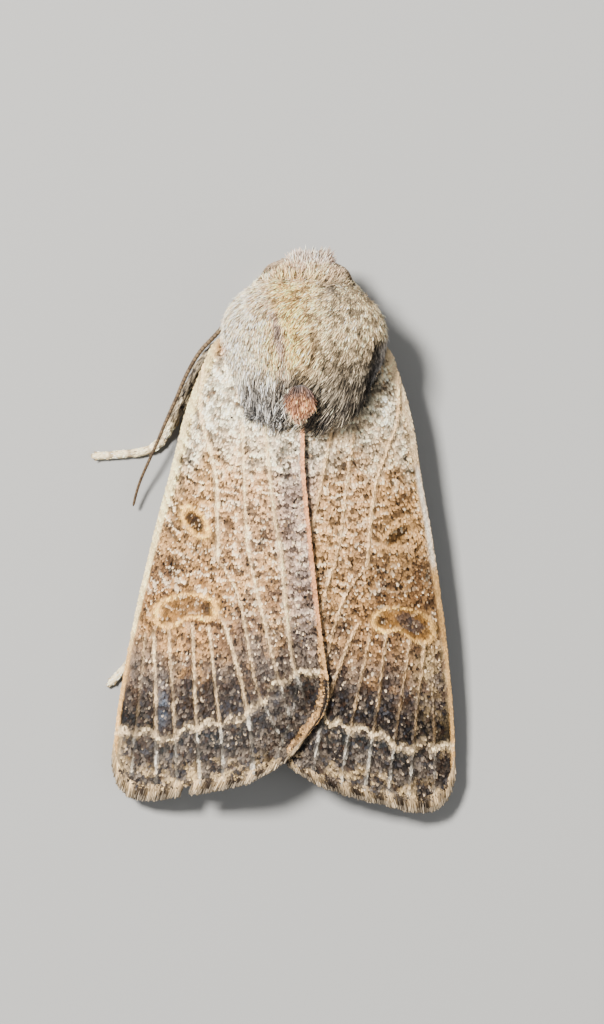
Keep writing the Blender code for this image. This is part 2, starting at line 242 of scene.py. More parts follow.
def tuftShapes(root, lie, up, length, width, lift, droop, rootUv, rings=3, thick=0.45, blunt=0.0):
    # A blade with a three-cornered section, carried along a bent path:
    # point(t) = root + length * (lie * t + up * (lift * t - droop * t * t)), half-width = width * swell(t)
    count = len(root)
    t = np.linspace(0, 1 - 0.18 * (1 - blunt), rings)
    side = unit(np.cross(lie, up))
    swell = np.sin(math.pi * (0.22 + (0.62 - 0.3 * blunt) * t))
    measures = (length, width, lift, droop)
    length, width, lift, droop = (np.broadcast_to(measure, count)[:, None, None] for measure in measures)
    tt = t[None, :, None]
    spine = root[:, None] + length * (lie[:, None] * tt + up[:, None] * (lift * tt - droop * tt**2))
    half = width * swell[None, :, None]
    corners = (spine - side[:, None] * half, spine + side[:, None] * half, spine + up[:, None] * half * thick)
    ring = np.stack(corners, axis=2)
    tip = root + length[:, 0] * (lie + up * (lift[:, 0] - droop[:, 0]))
    points = np.concatenate([ring.reshape(count, -1, 3), tip[:, None]], axis=1)
    faces = []
    for low in range(0, 3 * (rings - 1), 3):
        for a, b in ((low, low + 1), (low + 1, low + 2), (low + 2, low)):
            faces += [(a, b, b + 3), (a, b + 3, a + 3)]
    last, end = 3 * (rings - 1), 3 * rings
    faces += [(last, last + 1, end), (last + 1, last + 2, end), (last + 2, last, end), (0, 2, 1)]
    perTuft = points.shape[1]
    faces = (np.array(faces)[None, :, ::-1] + np.arange(count)[:, None, None] * perTuft).reshape(-1, 3)
    share = np.concatenate([np.repeat(t, 3), [1.0]])
    patch = np.stack([np.tile([-1.0, 1.0, 0.0], rings), 2 * np.repeat(t, 3) - 1], axis=1)
    patch = np.vstack([patch, [[0.0, 1.0]]]) * 0.0015
    uv = (rootUv[:, None] + patch[None]).reshape(-1, 2)
    return points.reshape(-1, 3), faces, share, uv


def setInputs(node, values):  # values by the names of a node's sockets
    for name, value in values.items():
        node.inputs[name].default_value = value


def nodeMaterial(name, values):  # a material, its node tree and its shader, with the shader's values set
    material = bpy.data.materials.new(name)
    material.use_nodes = True
    tree = material.node_tree
    shader = tree.nodes["Principled BSDF"]
    setInputs(shader, values)
    return material, tree, shader


def addNode(tree, kind, values, wires=()):  # a node with its values set, each wire into it from an output
    node = tree.nodes.new("ShaderNode" + kind)
    setInputs(node, values)
    for output, name in wires:
        tree.links.new(output, node.inputs[name])
    return node


def paintedMaterial(name, roughness, specular, grain, low, high, bumpSize=0.0, sheen=0.0):
    # the piece's own paint, made lighter and darker by a grain of noise between low and high,
    # with about `grain` lumps to a millimetre
    values = {"Roughness": roughness, "Specular IOR Level": specular}
    if sheen:
        values |= {"Sheen Weight": sheen, "Sheen Roughness": 0.4}
    material, tree, shader = nodeMaterial(name, values)
    paint = addNode(tree, "Attribute", {})
    paint.attribute_name = "paint"
    place = addNode(tree, "TexCoord", {}).outputs["Object"]
    mapping = addNode(tree, "Mapping", {"Scale": [grain / millimetre] * 3}, [(place, "Vector")])
    grainPlace = mapping.outputs["Vector"]
    texture = addNode(tree, "TexNoise", {"Scale": 1.0, "Detail": 3.0}, [(grainPlace, "Vector")])
    limits = {"From Min": 0.3, "From Max": 0.7, "To Min": low, "To Max": high}
    levels = addNode(tree, "MapRange", limits, [(texture.outputs["Fac"], "Value")])
    mix = tree.nodes.new("ShaderNodeVectorMath")
    mix.operation = "SCALE"
    tree.links.new(paint.outputs["Color"], mix.inputs[0])
    tree.links.new(levels.outputs["Result"], mix.inputs["Scale"])
    tree.links.new(mix.outputs["Vector"], shader.inputs["Base Color"])
    if bumpSize:
        height = {"Strength": 0.6, "Distance": bumpSize * millimetre}
        bump = addNode(tree, "Bump", height, [(texture.outputs["Fac"], "Height")])
        tree.links.new(bump.outputs["Normal"], shader.inputs["Normal"])
    return material


eyeLook = {
    "centre": (0.8, -8.5, 2.12), "radius": 0.5, "facet": 0.035, "facetHeight": 0.006,
    "dark": (0.008, 0.005, 0.004, 1), "light": (0.034, 0.02, 0.012, 1),
    "surface": {"Roughness": 0.24, "Specular IOR Level": 0.35, "Coat Weight": 0.15, "Coat Roughness": 0.1},
}


def eyeMaterial():  # a dark glossy eye whose facets are the cells of a Voronoi pattern
    look = eyeLook
    material, tree, shader = nodeMaterial("compoundEye", look["surface"])
    place = addNode(tree, "TexCoord", {}).outputs["Object"]
    pattern = {"Scale": 1 / (look["facet"] * millimetre), "Randomness": 0.25}
    cells = addNode(tree, "TexVoronoi", pattern, [(place, "Vector")])
    ramp = addNode(tree, "ValToRGB", {}, [(cells.outputs["Distance"], "Fac")])
    ramp.color_ramp.elements[0].color = look["light"]
    ramp.color_ramp.elements[1].color = look["dark"]
    ramp.color_ramp.elements[1].position = 0.7
    height = {"Strength": 0.5, "Distance": look["facetHeight"] * millimetre}
    bump = addNode(tree, "Bump", height, [(cells.outputs["Distance"], "Height")])
    bump.invert = True
    tree.links.new(ramp.outputs["Color"], shader.inputs["Base Color"])
    tree.links.new(bump.outputs["Normal"], shader.inputs["Normal"])
    return material


furFinish = paintedMaterial("hairScales", 0.65, 0.14, 6, 0.8, 1.2, sheen=0.1)
skinFinish = paintedMaterial("bodyCuticle", 0.7, 0.3, 9, 0.7, 1.15, bumpSize=0.03)
wingFinish = paintedMaterial("wingMembrane", 0.75, 0.1, 8, 0.75, 1.2, bumpSize=0.02)
scaleFinish = paintedMaterial("wingScales", 0.55, 0.1, 5, 0.85, 1.15)
fringeFinish = paintedMaterial("fringeScales", 0.6, 0.1, 6, 0.85, 1.15)
legFinish = paintedMaterial("legScales", 0.6, 0.2, 8, 0.8, 1.15, bumpSize=0.01)


wingShape = {
    "shift": 0.06,  # the left wing sits this much further out than the mirror of the right one
    "overLift": 0.26, "underDrop": 0.36,  # how far the wings part in height where they lap
    "lapEdge": 1.45, "lapFade": 4.2,  # the parting is whole up to the first and gone at the second
    "ridgeRound": 0.25,
    "roofAt": (-7.0, -4.0, 0.0, 4.0, 7.0, 9.5),  # stations along the body, for the next three
    "roofRidge": (4.5, 4.2, 3.85, 3.3, 2.8, 2.3),
    "roofEaves": (2.4, 1.95, 1.6, 1.32, 1.05, 0.75),
    "roofHalf": (3.0, 3.85, 4.8, 5.55, 5.85, 5.8),
    "coat": 0.05,  # how far the membrane lies under the solid's top
    "solidThickness": 0.5, "lapGap": 0.08,
    "bend": 0.34,  # how far the lapping wing's inner edge bends down inside its solid
    "bendWidth": 1.7,
}
forewingCosta = (
    (1.9, -6.9), (2.9, -6.35), (3.32, -5.5), (3.83, -4.0), (4.25, -2.0),
    (4.7, 0.0), (5.27, 3.0), (5.7, 6.0), (5.86, 8.0),
)
forewingTermen = (
    (5.86, 8.0), (5.8, 8.55), (5.55, 9.1), (5.15, 9.4), (4.4, 9.42), (3.5, 9.22),
    (2.5, 9.0), (1.6, 8.75), (0.95, 8.47), (0.35, 8.1), (-0.15, 7.68), (-0.5, 7.25),
)
forewingDorsum = (
    (0.4, -5.9), (-0.12, -4.0), (-0.28, -2.0), (-0.56, 0.0), (-0.86, 2.0),
    (-1.19, 4.0), (-1.41, 5.25), (-1.3, 6.05), (-0.93, 6.65), (-0.5, 7.25),
)
hindwingCosta = ((1.7, -6.2), (2.7, -4.2), (3.5, -1.0), (4.2, 2.4), (4.6, 5.0))
hindwingTermen = ((4.6, 5.0), (4.3, 6.5), (3.2, 7.1), (2.2, 6.6))
hindwingDorsum = ((1.6, -5.6), (1.85, -3.4), (1.85, 0.0), (1.85, 4.0), (2.2, 6.6))


def wingPlan(costa, termen, dorsum):
    # plan(u, v): a Coons patch between the four edges, u from costa to dorsum and v from base to tip
    front, back = smoothLine(costa, 200), smoothLine(dorsum, 200)
    outer, inner = smoothLine(termen, 200), smoothLine((costa[0], dorsum[0]), 200)

    def plan(u, v):
        uu, vv = u[..., None], v[..., None]
        corners = (1 - uu) * (1 - vv) * front[0] + uu * (1 - vv) * back[0] \
            + (1 - uu) * vv * front[-1] + uu * vv * back[-1]
        return (1 - uu) * along(front, v) + uu * along(back, v) \
            + (1 - vv) * along(inner, u) + vv * along(outer, u) - corners
    return plan


def roofValue(y, name):  # one of the roof's measures on a smooth curve through its stations
    line = smoothLine(list(zip(wingShape["roofAt"], wingShape[name])), 400)
    return np.interp(y, line[:, 0], line[:, 1])


def roof(across, y):
    # height of the closed wings: the ridge, less its height over the eaves times the mean of two curves of
    # the share across: one rounded like a hyperbola, one a parabola
    ridge, eaves = roofValue(y, "roofRidge"), roofValue(y, "roofEaves")
    share = across / roofValue(y, "roofHalf")
    rounding = wingShape["ridgeRound"]
    rounded = (np.sqrt(share**2 + rounding**2) - rounding) / (math.sqrt(1 + rounding**2) - rounding)
    return ridge - (ridge - eaves) * (0.5 * rounded + 0.5 * share**2)


def forewingTop(across, y, side):  # the roof, parted along the back where the wings lap
    fade = 1 - ease((across * side - wingShape["lapEdge"]) / (wingShape["lapFade"] - wingShape["lapEdge"]))
    return roof(across, y) + (wingShape["overLift"] if side > 0 else -wingShape["underDrop"]) * fade


def hindwingTop(across, y, side):  # a forewing solid's underside, less a gap
    step = 0.02
    slope = (forewingTop(across + step, y, side) - forewingTop(across - step, y, side)) / (2 * step)
    below = wingShape["solidThickness"] * np.sqrt(1 + slope**2) + wingShape["lapGap"]
    return forewingTop(across, y, side) - below


# Veins of the forewing, as (outward from the middle line, towards the tail), how pale and how wide each is
veins = (
    (((3.3, -6.0), (3.35, -4.0), (3.0, -2.8), (2.69, -1.6), (2.56, 0.2), (2.54, 1.1)), 1.0, 0.072),
    (((2.54, 1.1), (2.25, 1.4), (1.82, 2.14), (1.55, 3.0), (1.3, 4.2), (0.95, 5.5), (0.2, 6.9)), 0.8, 0.055),
    (((1.25, -4.0), (1.05, -3.0), (0.87, -1.7), (0.65, -0.35), (0.42, 0.67), (0.3, 1.53), (0.1, 3.0),
      (-0.15, 4.4), (-0.6, 5.6)), 0.95, 0.066),
    (((1.9, -3.6), (1.75, -2.0), (1.58, 0.12), (1.4, 1.1), (1.0, 2.6), (0.55, 4.2), (-0.1, 6.2)), 0.75, 0.06),
    (((4.9, 3.7), (4.95, 5.0), (5.1, 7.0), (5.2, 8.8)), 0.6, 0.055),
    (((4.62, 3.6), (4.55, 4.6), (4.49, 5.2), (4.4, 7.0), (4.33, 8.9)), 1.0, 0.066),
    (((4.1, 3.5), (4.02, 4.4), (3.9, 5.4), (3.75, 7.0), (3.6, 8.9)), 0.85, 0.06),
    (((3.3, 3.3), (3.2, 4.4), (3.1, 5.85), (2.95, 7.2), (2.8, 8.8)), 0.95, 0.06),
    (((2.72, 3.4), (2.64, 3.93), (2.35, 5.82), (2.15, 7.0), (2.0, 8.6)), 0.95, 0.06),
    (((2.35, 3.0), (2.08, 3.56), (1.6, 5.0), (1.3, 6.2), (1.12, 7.2), (1.0, 8.4)), 1.0, 0.072),
    (((-0.35, 5.0), (-0.2, 6.2), (0.1, 7.2), (0.3, 7.9)), 0.4, 0.055),
)
# The pale line that runs across the wing inside its outer edge, as (outward, towards the tail)
paleLine = (
    (5.9, 7.2), (5.0, 7.12), (4.55, 7.08), (4.2, 7.32), (3.85, 7.2), (3.35, 6.9), (2.95, 6.72), (2.35, 6.66),
    (1.9, 6.45), (1.5, 6.57), (1.2, 6.0), (0.7, 5.86), (0.52, 5.3), (0.03, 4.92), (-0.9, 4.8),
)
wingTones = {
    "base": tone(255, 246, 222), "costa": tone(255, 236, 190), "costaTail": tone(222, 186, 132),
    "tan": tone(226, 188, 138), "pinkTan": tone(242, 206, 164), "tanPatch": tone(214, 190, 150),
    "brown": tone(162, 130, 98), "deepBrown": tone(104, 84, 70), "orange": tone(196, 148, 94),
    "lilac": tone(206, 192, 186), "dusty": tone(150, 138, 126), "terminal": tone(92, 86, 80),
    "slate": tone(84, 84, 90), "blueSlate": tone(112, 120, 132), "deepSlate": tone(52, 56, 58),
    "dark": tone(56, 48, 44), "nearBlack": tone(28, 23, 21), "underside": tone(150, 128, 104),
    # glint is the colour of the painted highlights on single scales
    "cream": tone(255, 228, 188), "moss": tone(240, 218, 182), "glint": tone(236, 216, 188),
    "ring": tone(255, 214, 142), "fill": tone(156, 122, 76), "core": tone(132, 112, 94),
    "ochre": tone(218, 182, 134), "white": tone(250, 242, 228), "pinkEdge": tone(236, 180, 136),
}
wingMarks = {  # where the two wings differ: places of the marks, and strengths of marks and shades
    1: {
        "spot": (3.34, -0.14), "spotHalo": ("fill", 0.5), "spotRing": ("ring", 1.0), "spotCore": 0.5,
        "kidney": (3.52, 2.9), "kidneyHalo": 0.5, "kidneyRing": 0.13, "kidneyCore": ("core", 0.45),
        "coreAt": -0.3, "coreSize": (0.6, 0.24), "baseEnd": 3.7, "baseFade": 2.2, "tailBrown": 0.8,
        "tailDark": 0.5, "band": 0.85, "veins": 1.0, "tailVeins": 0.25,
    },
    -1: {
        "spot": (3.5, -0.02), "spotHalo": ("ochre", 0.35), "spotRing": ("ochre", 0.75), "spotCore": 0.62,
        "kidney": (3.86, 3.05), "kidneyHalo": 0.25, "kidneyRing": 0.1, "kidneyCore": ("slate", 1.0),
        "coreAt": 0.22, "coreSize": (0.5, 0.3), "baseEnd": 4.3, "baseFade": 2.8, "tailBrown": 0.88,
        "tailDark": 0.55, "band": 0.95, "veins": 0.85, "tailVeins": 0.4,
    },
}
costaLine, dorsumLine = smoothLine(forewingCosta, 200), smoothLine(forewingDorsum, 200)


def veinMask(x, y):  # 1 on a vein's middle line, falling to 0 at its edge
    mask = np.zeros_like(x)
    for points, strength, width in veins:
        line = smoothLine(points, 120)
        reach = ease((y - line[0, 1]) / 0.3 + 0.5) * ease((line[-1, 1] - y) / 0.3 + 0.5)
        mask = np.maximum(mask, strength * reach * hump(x, lineAt(y, line), width))
    return mask


def spotRing(x, y, side, fine):  # 1 on the ring of the small slanted mark, more outside it
    dx, dy = x - wingMarks[side]["spot"][0], y - wingMarks[side]["spot"][1]
    longWay, shortWay = (-0.68 * dx + 0.73 * dy), (0.73 * dx + 0.68 * dy)
    if side < 0:
        longWay, shortWay = 0.95 * (0.78 * dx - 0.62 * dy), 1.3 * (0.62 * dx + 0.78 * dy)
    return np.sqrt((longWay / 0.6) ** 2 + (shortWay / 0.32) ** 2) + 0.2 * (fine - 0.5)


def kidneyRing(x, y, side, fine):  # 1 on the ring of the kidney mark, with the offsets from its middle
    dx, dy = x - wingMarks[side]["kidney"][0], y - wingMarks[side]["kidney"][1]
    dy = dy + 0.2 * hump(dx, -0.15, 0.45) - 0.14 * dx
    halfHeight = 0.5 + 0.06 * np.clip(dx, -1, 1) - 0.1 * hump(dx, -0.15, 0.4)
    ring = ((np.abs(dx) / 1.02) ** 2.6 + (np.abs(dy) / halfHeight) ** 2.6) ** (1 / 2.6) + 0.14 * (fine - 0.5)
    return ring, dx, dy


def calmPlaces(x, y, side):  # 1 where the scales keep an even colour: on veins, rings and the wing's edges
    fine = noise(flat(x + 40 * side, y), 0.16, 5)
    spot, kidney = spotRing(x, y, side, fine), kidneyRing(x, y, side, fine)[0]
    around = 0.5 * (1 - ease((np.minimum(spot / 1.2, kidney) - 1) / 0.2))
    front, inner = ease((0.3 - lineAt(y, costaLine) + x) / 0.1), ease((0.2 - x + lineAt(y, dorsumLine)) / 0.1)
    calm = [veinMask(x, y), hump(spot, 1, 0.2), hump(kidney, 1, 0.15), around, front, inner]
    return np.clip(np.max(calm, axis=0), 0, 1)


def forewingPaint(x, y, side):
    # the wing's colours at places in its own plan: x outward from the middle line, y towards the tail
    marks, left, right = wingMarks[side], side > 0, side < 0
    spots = flat(x + 40 * side, y)
    wander, fine = mottle(spots, 0.9, 3), noise(spots, 0.16, 5)
    lanes = noise(flat(x / 0.3, y / 1.6), 1.0, 77)
    fromCosta, fromDorsum = lineAt(y, costaLine) - x, x - lineAt(y, dorsumLine)

    def blot(atX, width, atY, length):  # a soft patch of height 1
        return hump(x, atX, width) * hump(y, atY, length)

    def clumps(size, seed, gain, cut):  # patches of mottle: more gain sharpens them, more cut leaves fewer
        return ease(mottle(spots, size, seed) * gain - cut)

    def specks(size, seed, gain, cut):  # the same with plain noise
        return ease(noise(spots, size, seed) * gain - cut)

    # browns and tans, streaked between the veins
    outer, tailwards = ease((x - 2.0) / 0.8), ease((y + 2.4) / 1.2)
    layers = [
        ("tan", 0.8 * ease(wander * 2.4 - 0.6)),
        ("pinkTan", 0.8 * blot(1.75, 1.0, -1.0, 2.4) * (0.5 + wander)),
        ("tan", 0.75 * blot(3.4, 0.9, -1.4, 1.6)),
        ("deepBrown", 0.75 * hump(y, 1.35, 0.8) * outer * (0.45 + 0.7 * fine)),
        ("orange", 0.75 * blot(3.6, 1.4, 2.6, 1.2) * ease(wander * 2 - 0.35)),
        ("orange", 0.35 * hump(y, 4.3, 1.0) * ease((x - 2.0) / 1.2) * ease(wander * 2.4 - 0.6)),
        ("cream", 0.55 * left * blot(4.0, 0.7, -2.2, 1.7) * (0.5 + wander)),
        ("brown", 0.55 * ease((lanes - 0.5) / 0.25) * tailwards),
        ("ochre", 0.4 * ease((0.42 - lanes) / 0.2) * tailwards * ease((x - 1.6) / 0.8)),
    ]
    # grey and lilac along the back, darkening towards the tail
    lilac = (1 - ease((fromDorsum - 0.6) / 0.9)) * ease((y + 4.0) / 1.0)
    greyed = ease((y - 1.0 - 2.5 * mottle(spots, 0.5, 8)) / 1.6)
    inner = 1 - ease((x - 1.5) / 1.2)
    lag = 1.1 * (lanes - 0.5) + 0.5 * (fine - 0.5)
    layers += [
        ("lilac", 0.7 * lilac * (0.5 + 0.6 * wander)),
        ("slate", 0.75 * greyed * inner * clumps(0.4, 9, 4, 1.2)),
        # the right wing alone darker brown here: partly its own colour, partly painted shade for light
        # falling from the left
        ("deepBrown", 0.75 * right * hump(y, 2.8, 1.8) * ease((x - 2.2) / 0.8)),
        ("tan", 0.5 * right * blot(1.4, 0.7, 1.0, 2.2)),
        ("deepBrown", marks["tailBrown"] * ease((y - 3.4 + lag) / 2.1)),
        ("dark", marks["tailDark"] * ease((y - 4.8 + lag) / 1.5)),
        ("slate", 0.6 * inner * hump(y, 1.8, 1.6) * clumps(0.3, 29, 5, 2.6)),
        ("slate", 0.7 * ease((y - 4.2) / 0.8) * clumps(0.35, 19, 4, 1.7)),
        ("dusty", 0.6 * (1 - ease((x - 0.9) / 1.1)) * hump(y, 4.2, 1.1) * ease(fine * 4 - 1.4)),
        ("dusty", 0.5 * hump(y, 4.9, 0.9) * clumps(0.3, 23, 4, 1.5)),
        ("dusty", 0.55 * blot(5.0, 0.6, 4.6, 1.0)),
    ]
    # the pale base fades out in patches, with dark specks
    basal = 1 - ease((y + marks["baseEnd"] + 3 * (mottle(spots, 0.6, 14) - 0.5)) / marks["baseFade"])
    layers += [
        ("base", 0.95 * basal),
        ("deepBrown", 0.85 * basal * specks(0.2, 12, 7, 4.5) * ease((y + 6.4) / 1.5)),
        ("brown", 0.5 * basal * specks(0.13, 13, 6, 3.4) * ease((y + 6.0) / 1.5)),
        ("dark", 0.75 * (blot(0.42, 0.3, -2.67, 0.25) + blot(0.31, 0.22, -1.89, 0.2))),
    ]
    # the dark band before the pale line, deepest at the front edge, and the blue streak beside it;
    # the pale line arches between the veins
    line = smoothLine(sorted(paleLine), 300)
    ends = [lineAt(7.0, np.array(points)) for points, _, _ in veins if points[-1][1] > 6.5]
    arch = np.minimum(np.abs(x[..., None] - ends).min(axis=-1) / 0.26, 1)
    jag = 0.16 * (noise(spots, 0.22, 21) - 0.5) - 0.15 * arch**2 + 0.07
    before = np.interp(x, line[:, 0], line[:, 1]) + jag - y
    band = ease(before / 0.08) * (1 - ease((before - 0.6 - 0.8 * wander) / 0.8))
    band = band * (0.35 + 0.65 * ease((x - 0.6) / 1.4))
    block = (0.5 + 0.45 * ease((x - 3.9) / 0.5)) * (1 - ease((before - 0.8) / 0.4))
    layers += [
        ("dark", band * marks["band"]),
        ("nearBlack", band * 0.95 * ease((x - 4.4) / 0.3) * (1 - ease((before - 0.6) / 0.5))),
        ("nearBlack", right * block * band),
        ("blueSlate", 0.85 * left * blot(4.2, 0.2, 6.1, 0.7)),
        ("tanPatch", 0.75 * right * ease((x - 4.1) / 0.6) * hump(y, 4.5, 1.3) * ease(fine * 4 - 1.3)),
    ]
    # the mottled border beyond the pale line
    past = ease(-before / 0.1)
    slate = hump(before, -0.4, 0.3) * (1 - 0.7 * ease((x - 4.0) / 0.4)) * clumps(0.35, 38, 4, 1.1)
    layers += [
        ("terminal", 0.9 * past),
        ("dark", 0.9 * past * clumps(0.3, 31, 5, 1.9)),
        ("dusty", 0.6 * past * clumps(0.24, 33, 6, 3.1)),
        ("deepSlate", 0.95 * past * slate * (0.45 + 0.55 * ease((x - 0.7) / 0.8))),
        ("tanPatch", 0.8 * past * ease((y - 0.16 * x - 7.3) / 0.5) * clumps(0.28, 35, 6, 2.9)),
        ("tanPatch", 0.5 * past * ease((x - 5.0) / 0.4) * clumps(0.3, 36, 5, 2.2)),
    ]
    # the costa: a pale streak that narrows, then a tan edge with dark points
    width = np.interp(y, (-6, -1.5, 0.6, 3, 4), (0.36, 0.32, 0.17, 0.12, 0.08))
    streak = 1 - ease((fromCosta - width) / 0.08)
    if left:
        tail = ease((y - 3.4) / 1.5)
        layers += [
            ("costa", streak * (1 - tail)),
            ("costaTail", streak * tail),
            ("orange", 0.9 * blot(2.75, 0.3, -6.1, 0.45) * (0.5 + wander)),
        ]
    else:
        tail = ease((y + 3.5) / 1.5)
        thoraxShadowEdge = np.interp(y, (-6.8, -5.5, -4.3, -3.9), (2.95, 2.75, 2.3, 1.9))
        strip = ease((y + 2.6) / 0.5) - ease((y - 0.7) / 0.6)
        layers += [
            ("costaTail", streak * 0.9 * tail),
            ("cream", streak * 0.7 * (1 - tail)),
            # painted shadow in the gap between the thorax and the right wing's base
            ("nearBlack", 0.9 * hump(x, thoraxShadowEdge - 0.12, 0.2) * (1 - ease((y + 4.4) / 0.5))),
            ("white", 0.9 * hump(fromCosta, 0.1, 0.1) * strip),
        ]
    for pointY in (3.2, 4.0, 4.9, 5.7, -3.4, -2.2):
        layers.append(("nearBlack", 0.85 * hump(fromCosta, 0.28, 0.13) * hump(y, pointY, 0.14)))
    speckled = specks(0.14, 41, 5, 3) * (1 - ease((y - 1) / 2))
    layers.append(("dark", 0.8 * hump(fromCosta, 0.4, 0.13) * speckled))
    colour = laid(wingTones["brown"], wingTones, layers)

    # veins, whiter beyond the pale line, with darker scales along both sides of them
    vein, broken, tail = veinMask(x, y), specks(0.28, 52, 4, 1.5), ease((y - 3) / 1.5)
    colour = colour * (1 - 0.5 * hump(vein, 0.28, 0.2))[..., None]
    vein = vein ** (1 + 0.7 * tail) * (1 - marks["tailVeins"] * tail) * (1 - 0.5 * past * broken)
    vein = vein * (1 - 0.75 * broken * ease((y - 4.6) / 0.8)) * (1 - 0.35 * hump(before, 0.5, 0.45))
    cream = wingTones["cream"] if left else 0.5 * (wingTones["cream"] + wingTones["tan"])
    uneven = 0.95 + 0.5 * (noise(spots, 0.2, 51) - 0.4)
    colour = over(colour, over(cream, wingTones["white"], past), vein * uneven * marks["veins"])

    # the pale line itself, the small slanted mark with its dark middle, and the kidney mark:
    # a pinched ring set across the wing, brown inside, with a core
    ring = spotRing(x, y, side, fine)
    kidney, dx, dy = kidneyRing(x, y, side, fine)
    inside = 1 - ease((kidney - 0.85) / 0.15)
    coreLength, coreHeight = marks["coreSize"]
    core = np.hypot((dx - marks["coreAt"]) / coreLength, dy / coreHeight) + 0.5 * (fine - 0.5)
    core = inside * (1 - ease((core - 0.8) / 0.3)) * (0.5 + wander) * (0.6 + 0.7 * fine)
    worn = 1 if left else 0.5 + 0.4 * ease((0.25 - dx) / 0.4) + 0.3 * ease(dy / 0.1)
    (haloTone, halo), (ringTone, ringStrength) = marks["spotHalo"], marks["spotRing"]
    coreTone, coreStrength = marks["kidneyCore"]
    colour = laid(colour, wingTones, [
        ("moss", hump(before, 0.0, 0.1) * specks(0.16, 55, 5, 0.3)),
        ("moss", 0.6 * hump(before, -0.06, 0.12) * specks(0.12, 56, 5, 2.6)),
        ("fill", 0.85 * (1 - ease((ring - 0.85) / 0.2))),
        ("nearBlack", 0.95 * (1 - ease((ring - marks["spotCore"]) / 0.25)) * (0.65 + 0.5 * fine)),
        (haloTone, halo * hump(ring, 1.45, 0.3)),
        (ringTone, ringStrength * hump(ring, 1.0, 0.2)),
        ("fill", 0.9 * inside),
        ("fill", marks["kidneyHalo"] * hump(kidney, 1.35, 0.2) * (0.4 + fine)),
        (coreTone, coreStrength * 0.9 * core),
        ("nearBlack", 0.9 * hump(dx, -0.75, 0.17) * hump(dy, 0.02, 0.19)),
        ("ring", hump(kidney, 1.0, marks["kidneyRing"]) * (0.6 + 0.7 * fine) * worn),
    ])
    # the inner edge: a pinkish band, ochre and wider towards the tail
    edge = 1 - ease((fromDorsum - np.interp(y, (-4, 3, 4.5, 6), (0.1, 0.12, 0.2, 0.36))) / 0.07)
    edgeTone = over(wingTones["pinkEdge"], wingTones["ochre"], ease((y - 2.2) / 2))
    return over(colour, edgeTone, 0.9 * edge * ease((y + 4.4) / 0.6))


hindwingTones = {
    "plain": tone(196, 180, 158), "shade": tone(150, 132, 112), "crescent": tone(84, 70, 60),
    "border": tone(92, 78, 66), "fringeRoot": tone(120, 100, 82), "fringeTip": tone(206, 186, 156),
}


def hindwingPaint(x, y, side):  # pale grey-brown with a dark crescent in the middle and a dark border
    return laid(hindwingTones["plain"], hindwingTones, [
        ("shade", 0.5 * ease(mottle(flat(x + 60 * side, y), 0.7, 61) * 2 - 0.6)),
        ("crescent", 0.8 * hump(x, 3.2, 0.35) * hump(y, 1.4, 0.22)),
        ("border", 0.8 * ease((y - 4.4) / 1.2)),
    ])


wingSheet = {
    # shade darkens the membrane's paint, as painted shade where it shows between the scales
    "thickness": 0.05, "costaThickness": 0.16, "costaFade": 26, "veinRise": 0.045, "shade": 0.75,
    "forewingGrid": (220, 110), "hindwingGrid": (120, 60),  # rows and columns
    "hindwingEnd": 0.955,  # the share of the hindwing that the membrane covers; the fringe has the rest
}


def wingMaker(plan, top, side, relief, bend=0.0):
    # surface(u, v): the plan carried up to the height field, less the coat, plus the relief of the veins
    def surface(u, v):
        x, y = np.moveaxis(plan(u, v), -1, 0)
        shifted = (x + side * wingShape["shift"]) * side
        height = top(shifted, y, side) - wingShape["coat"] + relief(x, y, u, v)
        if side > 0 and bend:
            height = height - bend * (1 - ease((x - lineAt(y, dorsumLine)) / wingShape["bendWidth"]))
        return vectors(shifted, y, height)
    return surface


def onPlan(points, side):  # places on a wing back in its own plan
    return points[:, 0] * side - side * wingShape["shift"], points[:, 1]


def forewingRelief(x, y, u, v):  # veins stand up a little between shallow waves
    return wingSheet["veinRise"] * veinMask(x, y) + 0.02 * (mottle(flat(x, y), 1.3, 71) - 0.5)


def hindwingRelief(x, y, u, v):  # shallow folds that fan out from the base
    return 0.015 * np.cos(u * 42) * ease(v * 4)


def makeMembrane(name, surface, side, slot, node, paintOf, vEnd, grid):
    # a closed sheet: the surface's grid on top, the same grid lowered by the thickness below
    rows, columns = grid
    u, v = np.meshgrid(np.linspace(0, 1, columns), np.linspace(0, vEnd, rows), indexing="ij")
    top = surface(u, v)
    below, look = top.copy(), wingSheet
    below[..., 2] -= look["thickness"] + look["costaThickness"] * np.exp(-u * look["costaFade"])
    points = np.concatenate([top.reshape(-1, 3), below.reshape(-1, 3)])
    quads = gridFaces(columns, rows)
    total = rows * columns
    index = np.arange(total).reshape(columns, rows)
    rim = np.concatenate([index[0, :], index[1:, -1], index[-1, -2::-1], index[-2:0:-1, 0]])
    after = np.roll(rim, -1)
    wall = np.stack([rim, rim + total, after + total, after], axis=1)
    faces = np.concatenate([quads, quads[:, ::-1] + total, wall])[:, ::side]
    paint = paintOf(*onPlan(points, side), side)
    paint[total:] = over(paint[total:], wingTones["underside"], np.full(total, 0.75))
    uv = mapUv(np.tile(u.ravel(), 2), np.tile(v.ravel(), 2))
    # the membrane's paint darkened by the shade factor: painted shade under the scales
    finish(name, points, faces, wingFinish, [node], paint * look["shade"], uv)


scaleCoat = {
    "wingLength": 15.8, "rowGap": 0.07, "sideGap": 0.062, "length": 0.135, "width": 0.044, "lift": 0.04,
    # rowShadingContrast: the strength of the painted light and shade along the rows of scales
    "thickness": 0.01, "contrast": 0.38, "rowShadingContrast": 1.9,
    # glintShare: the share of scales that carry a painted glint highlight
    "darkShare": 0.12, "glintShare": 0.06, "ochreShare": 0.06,
}


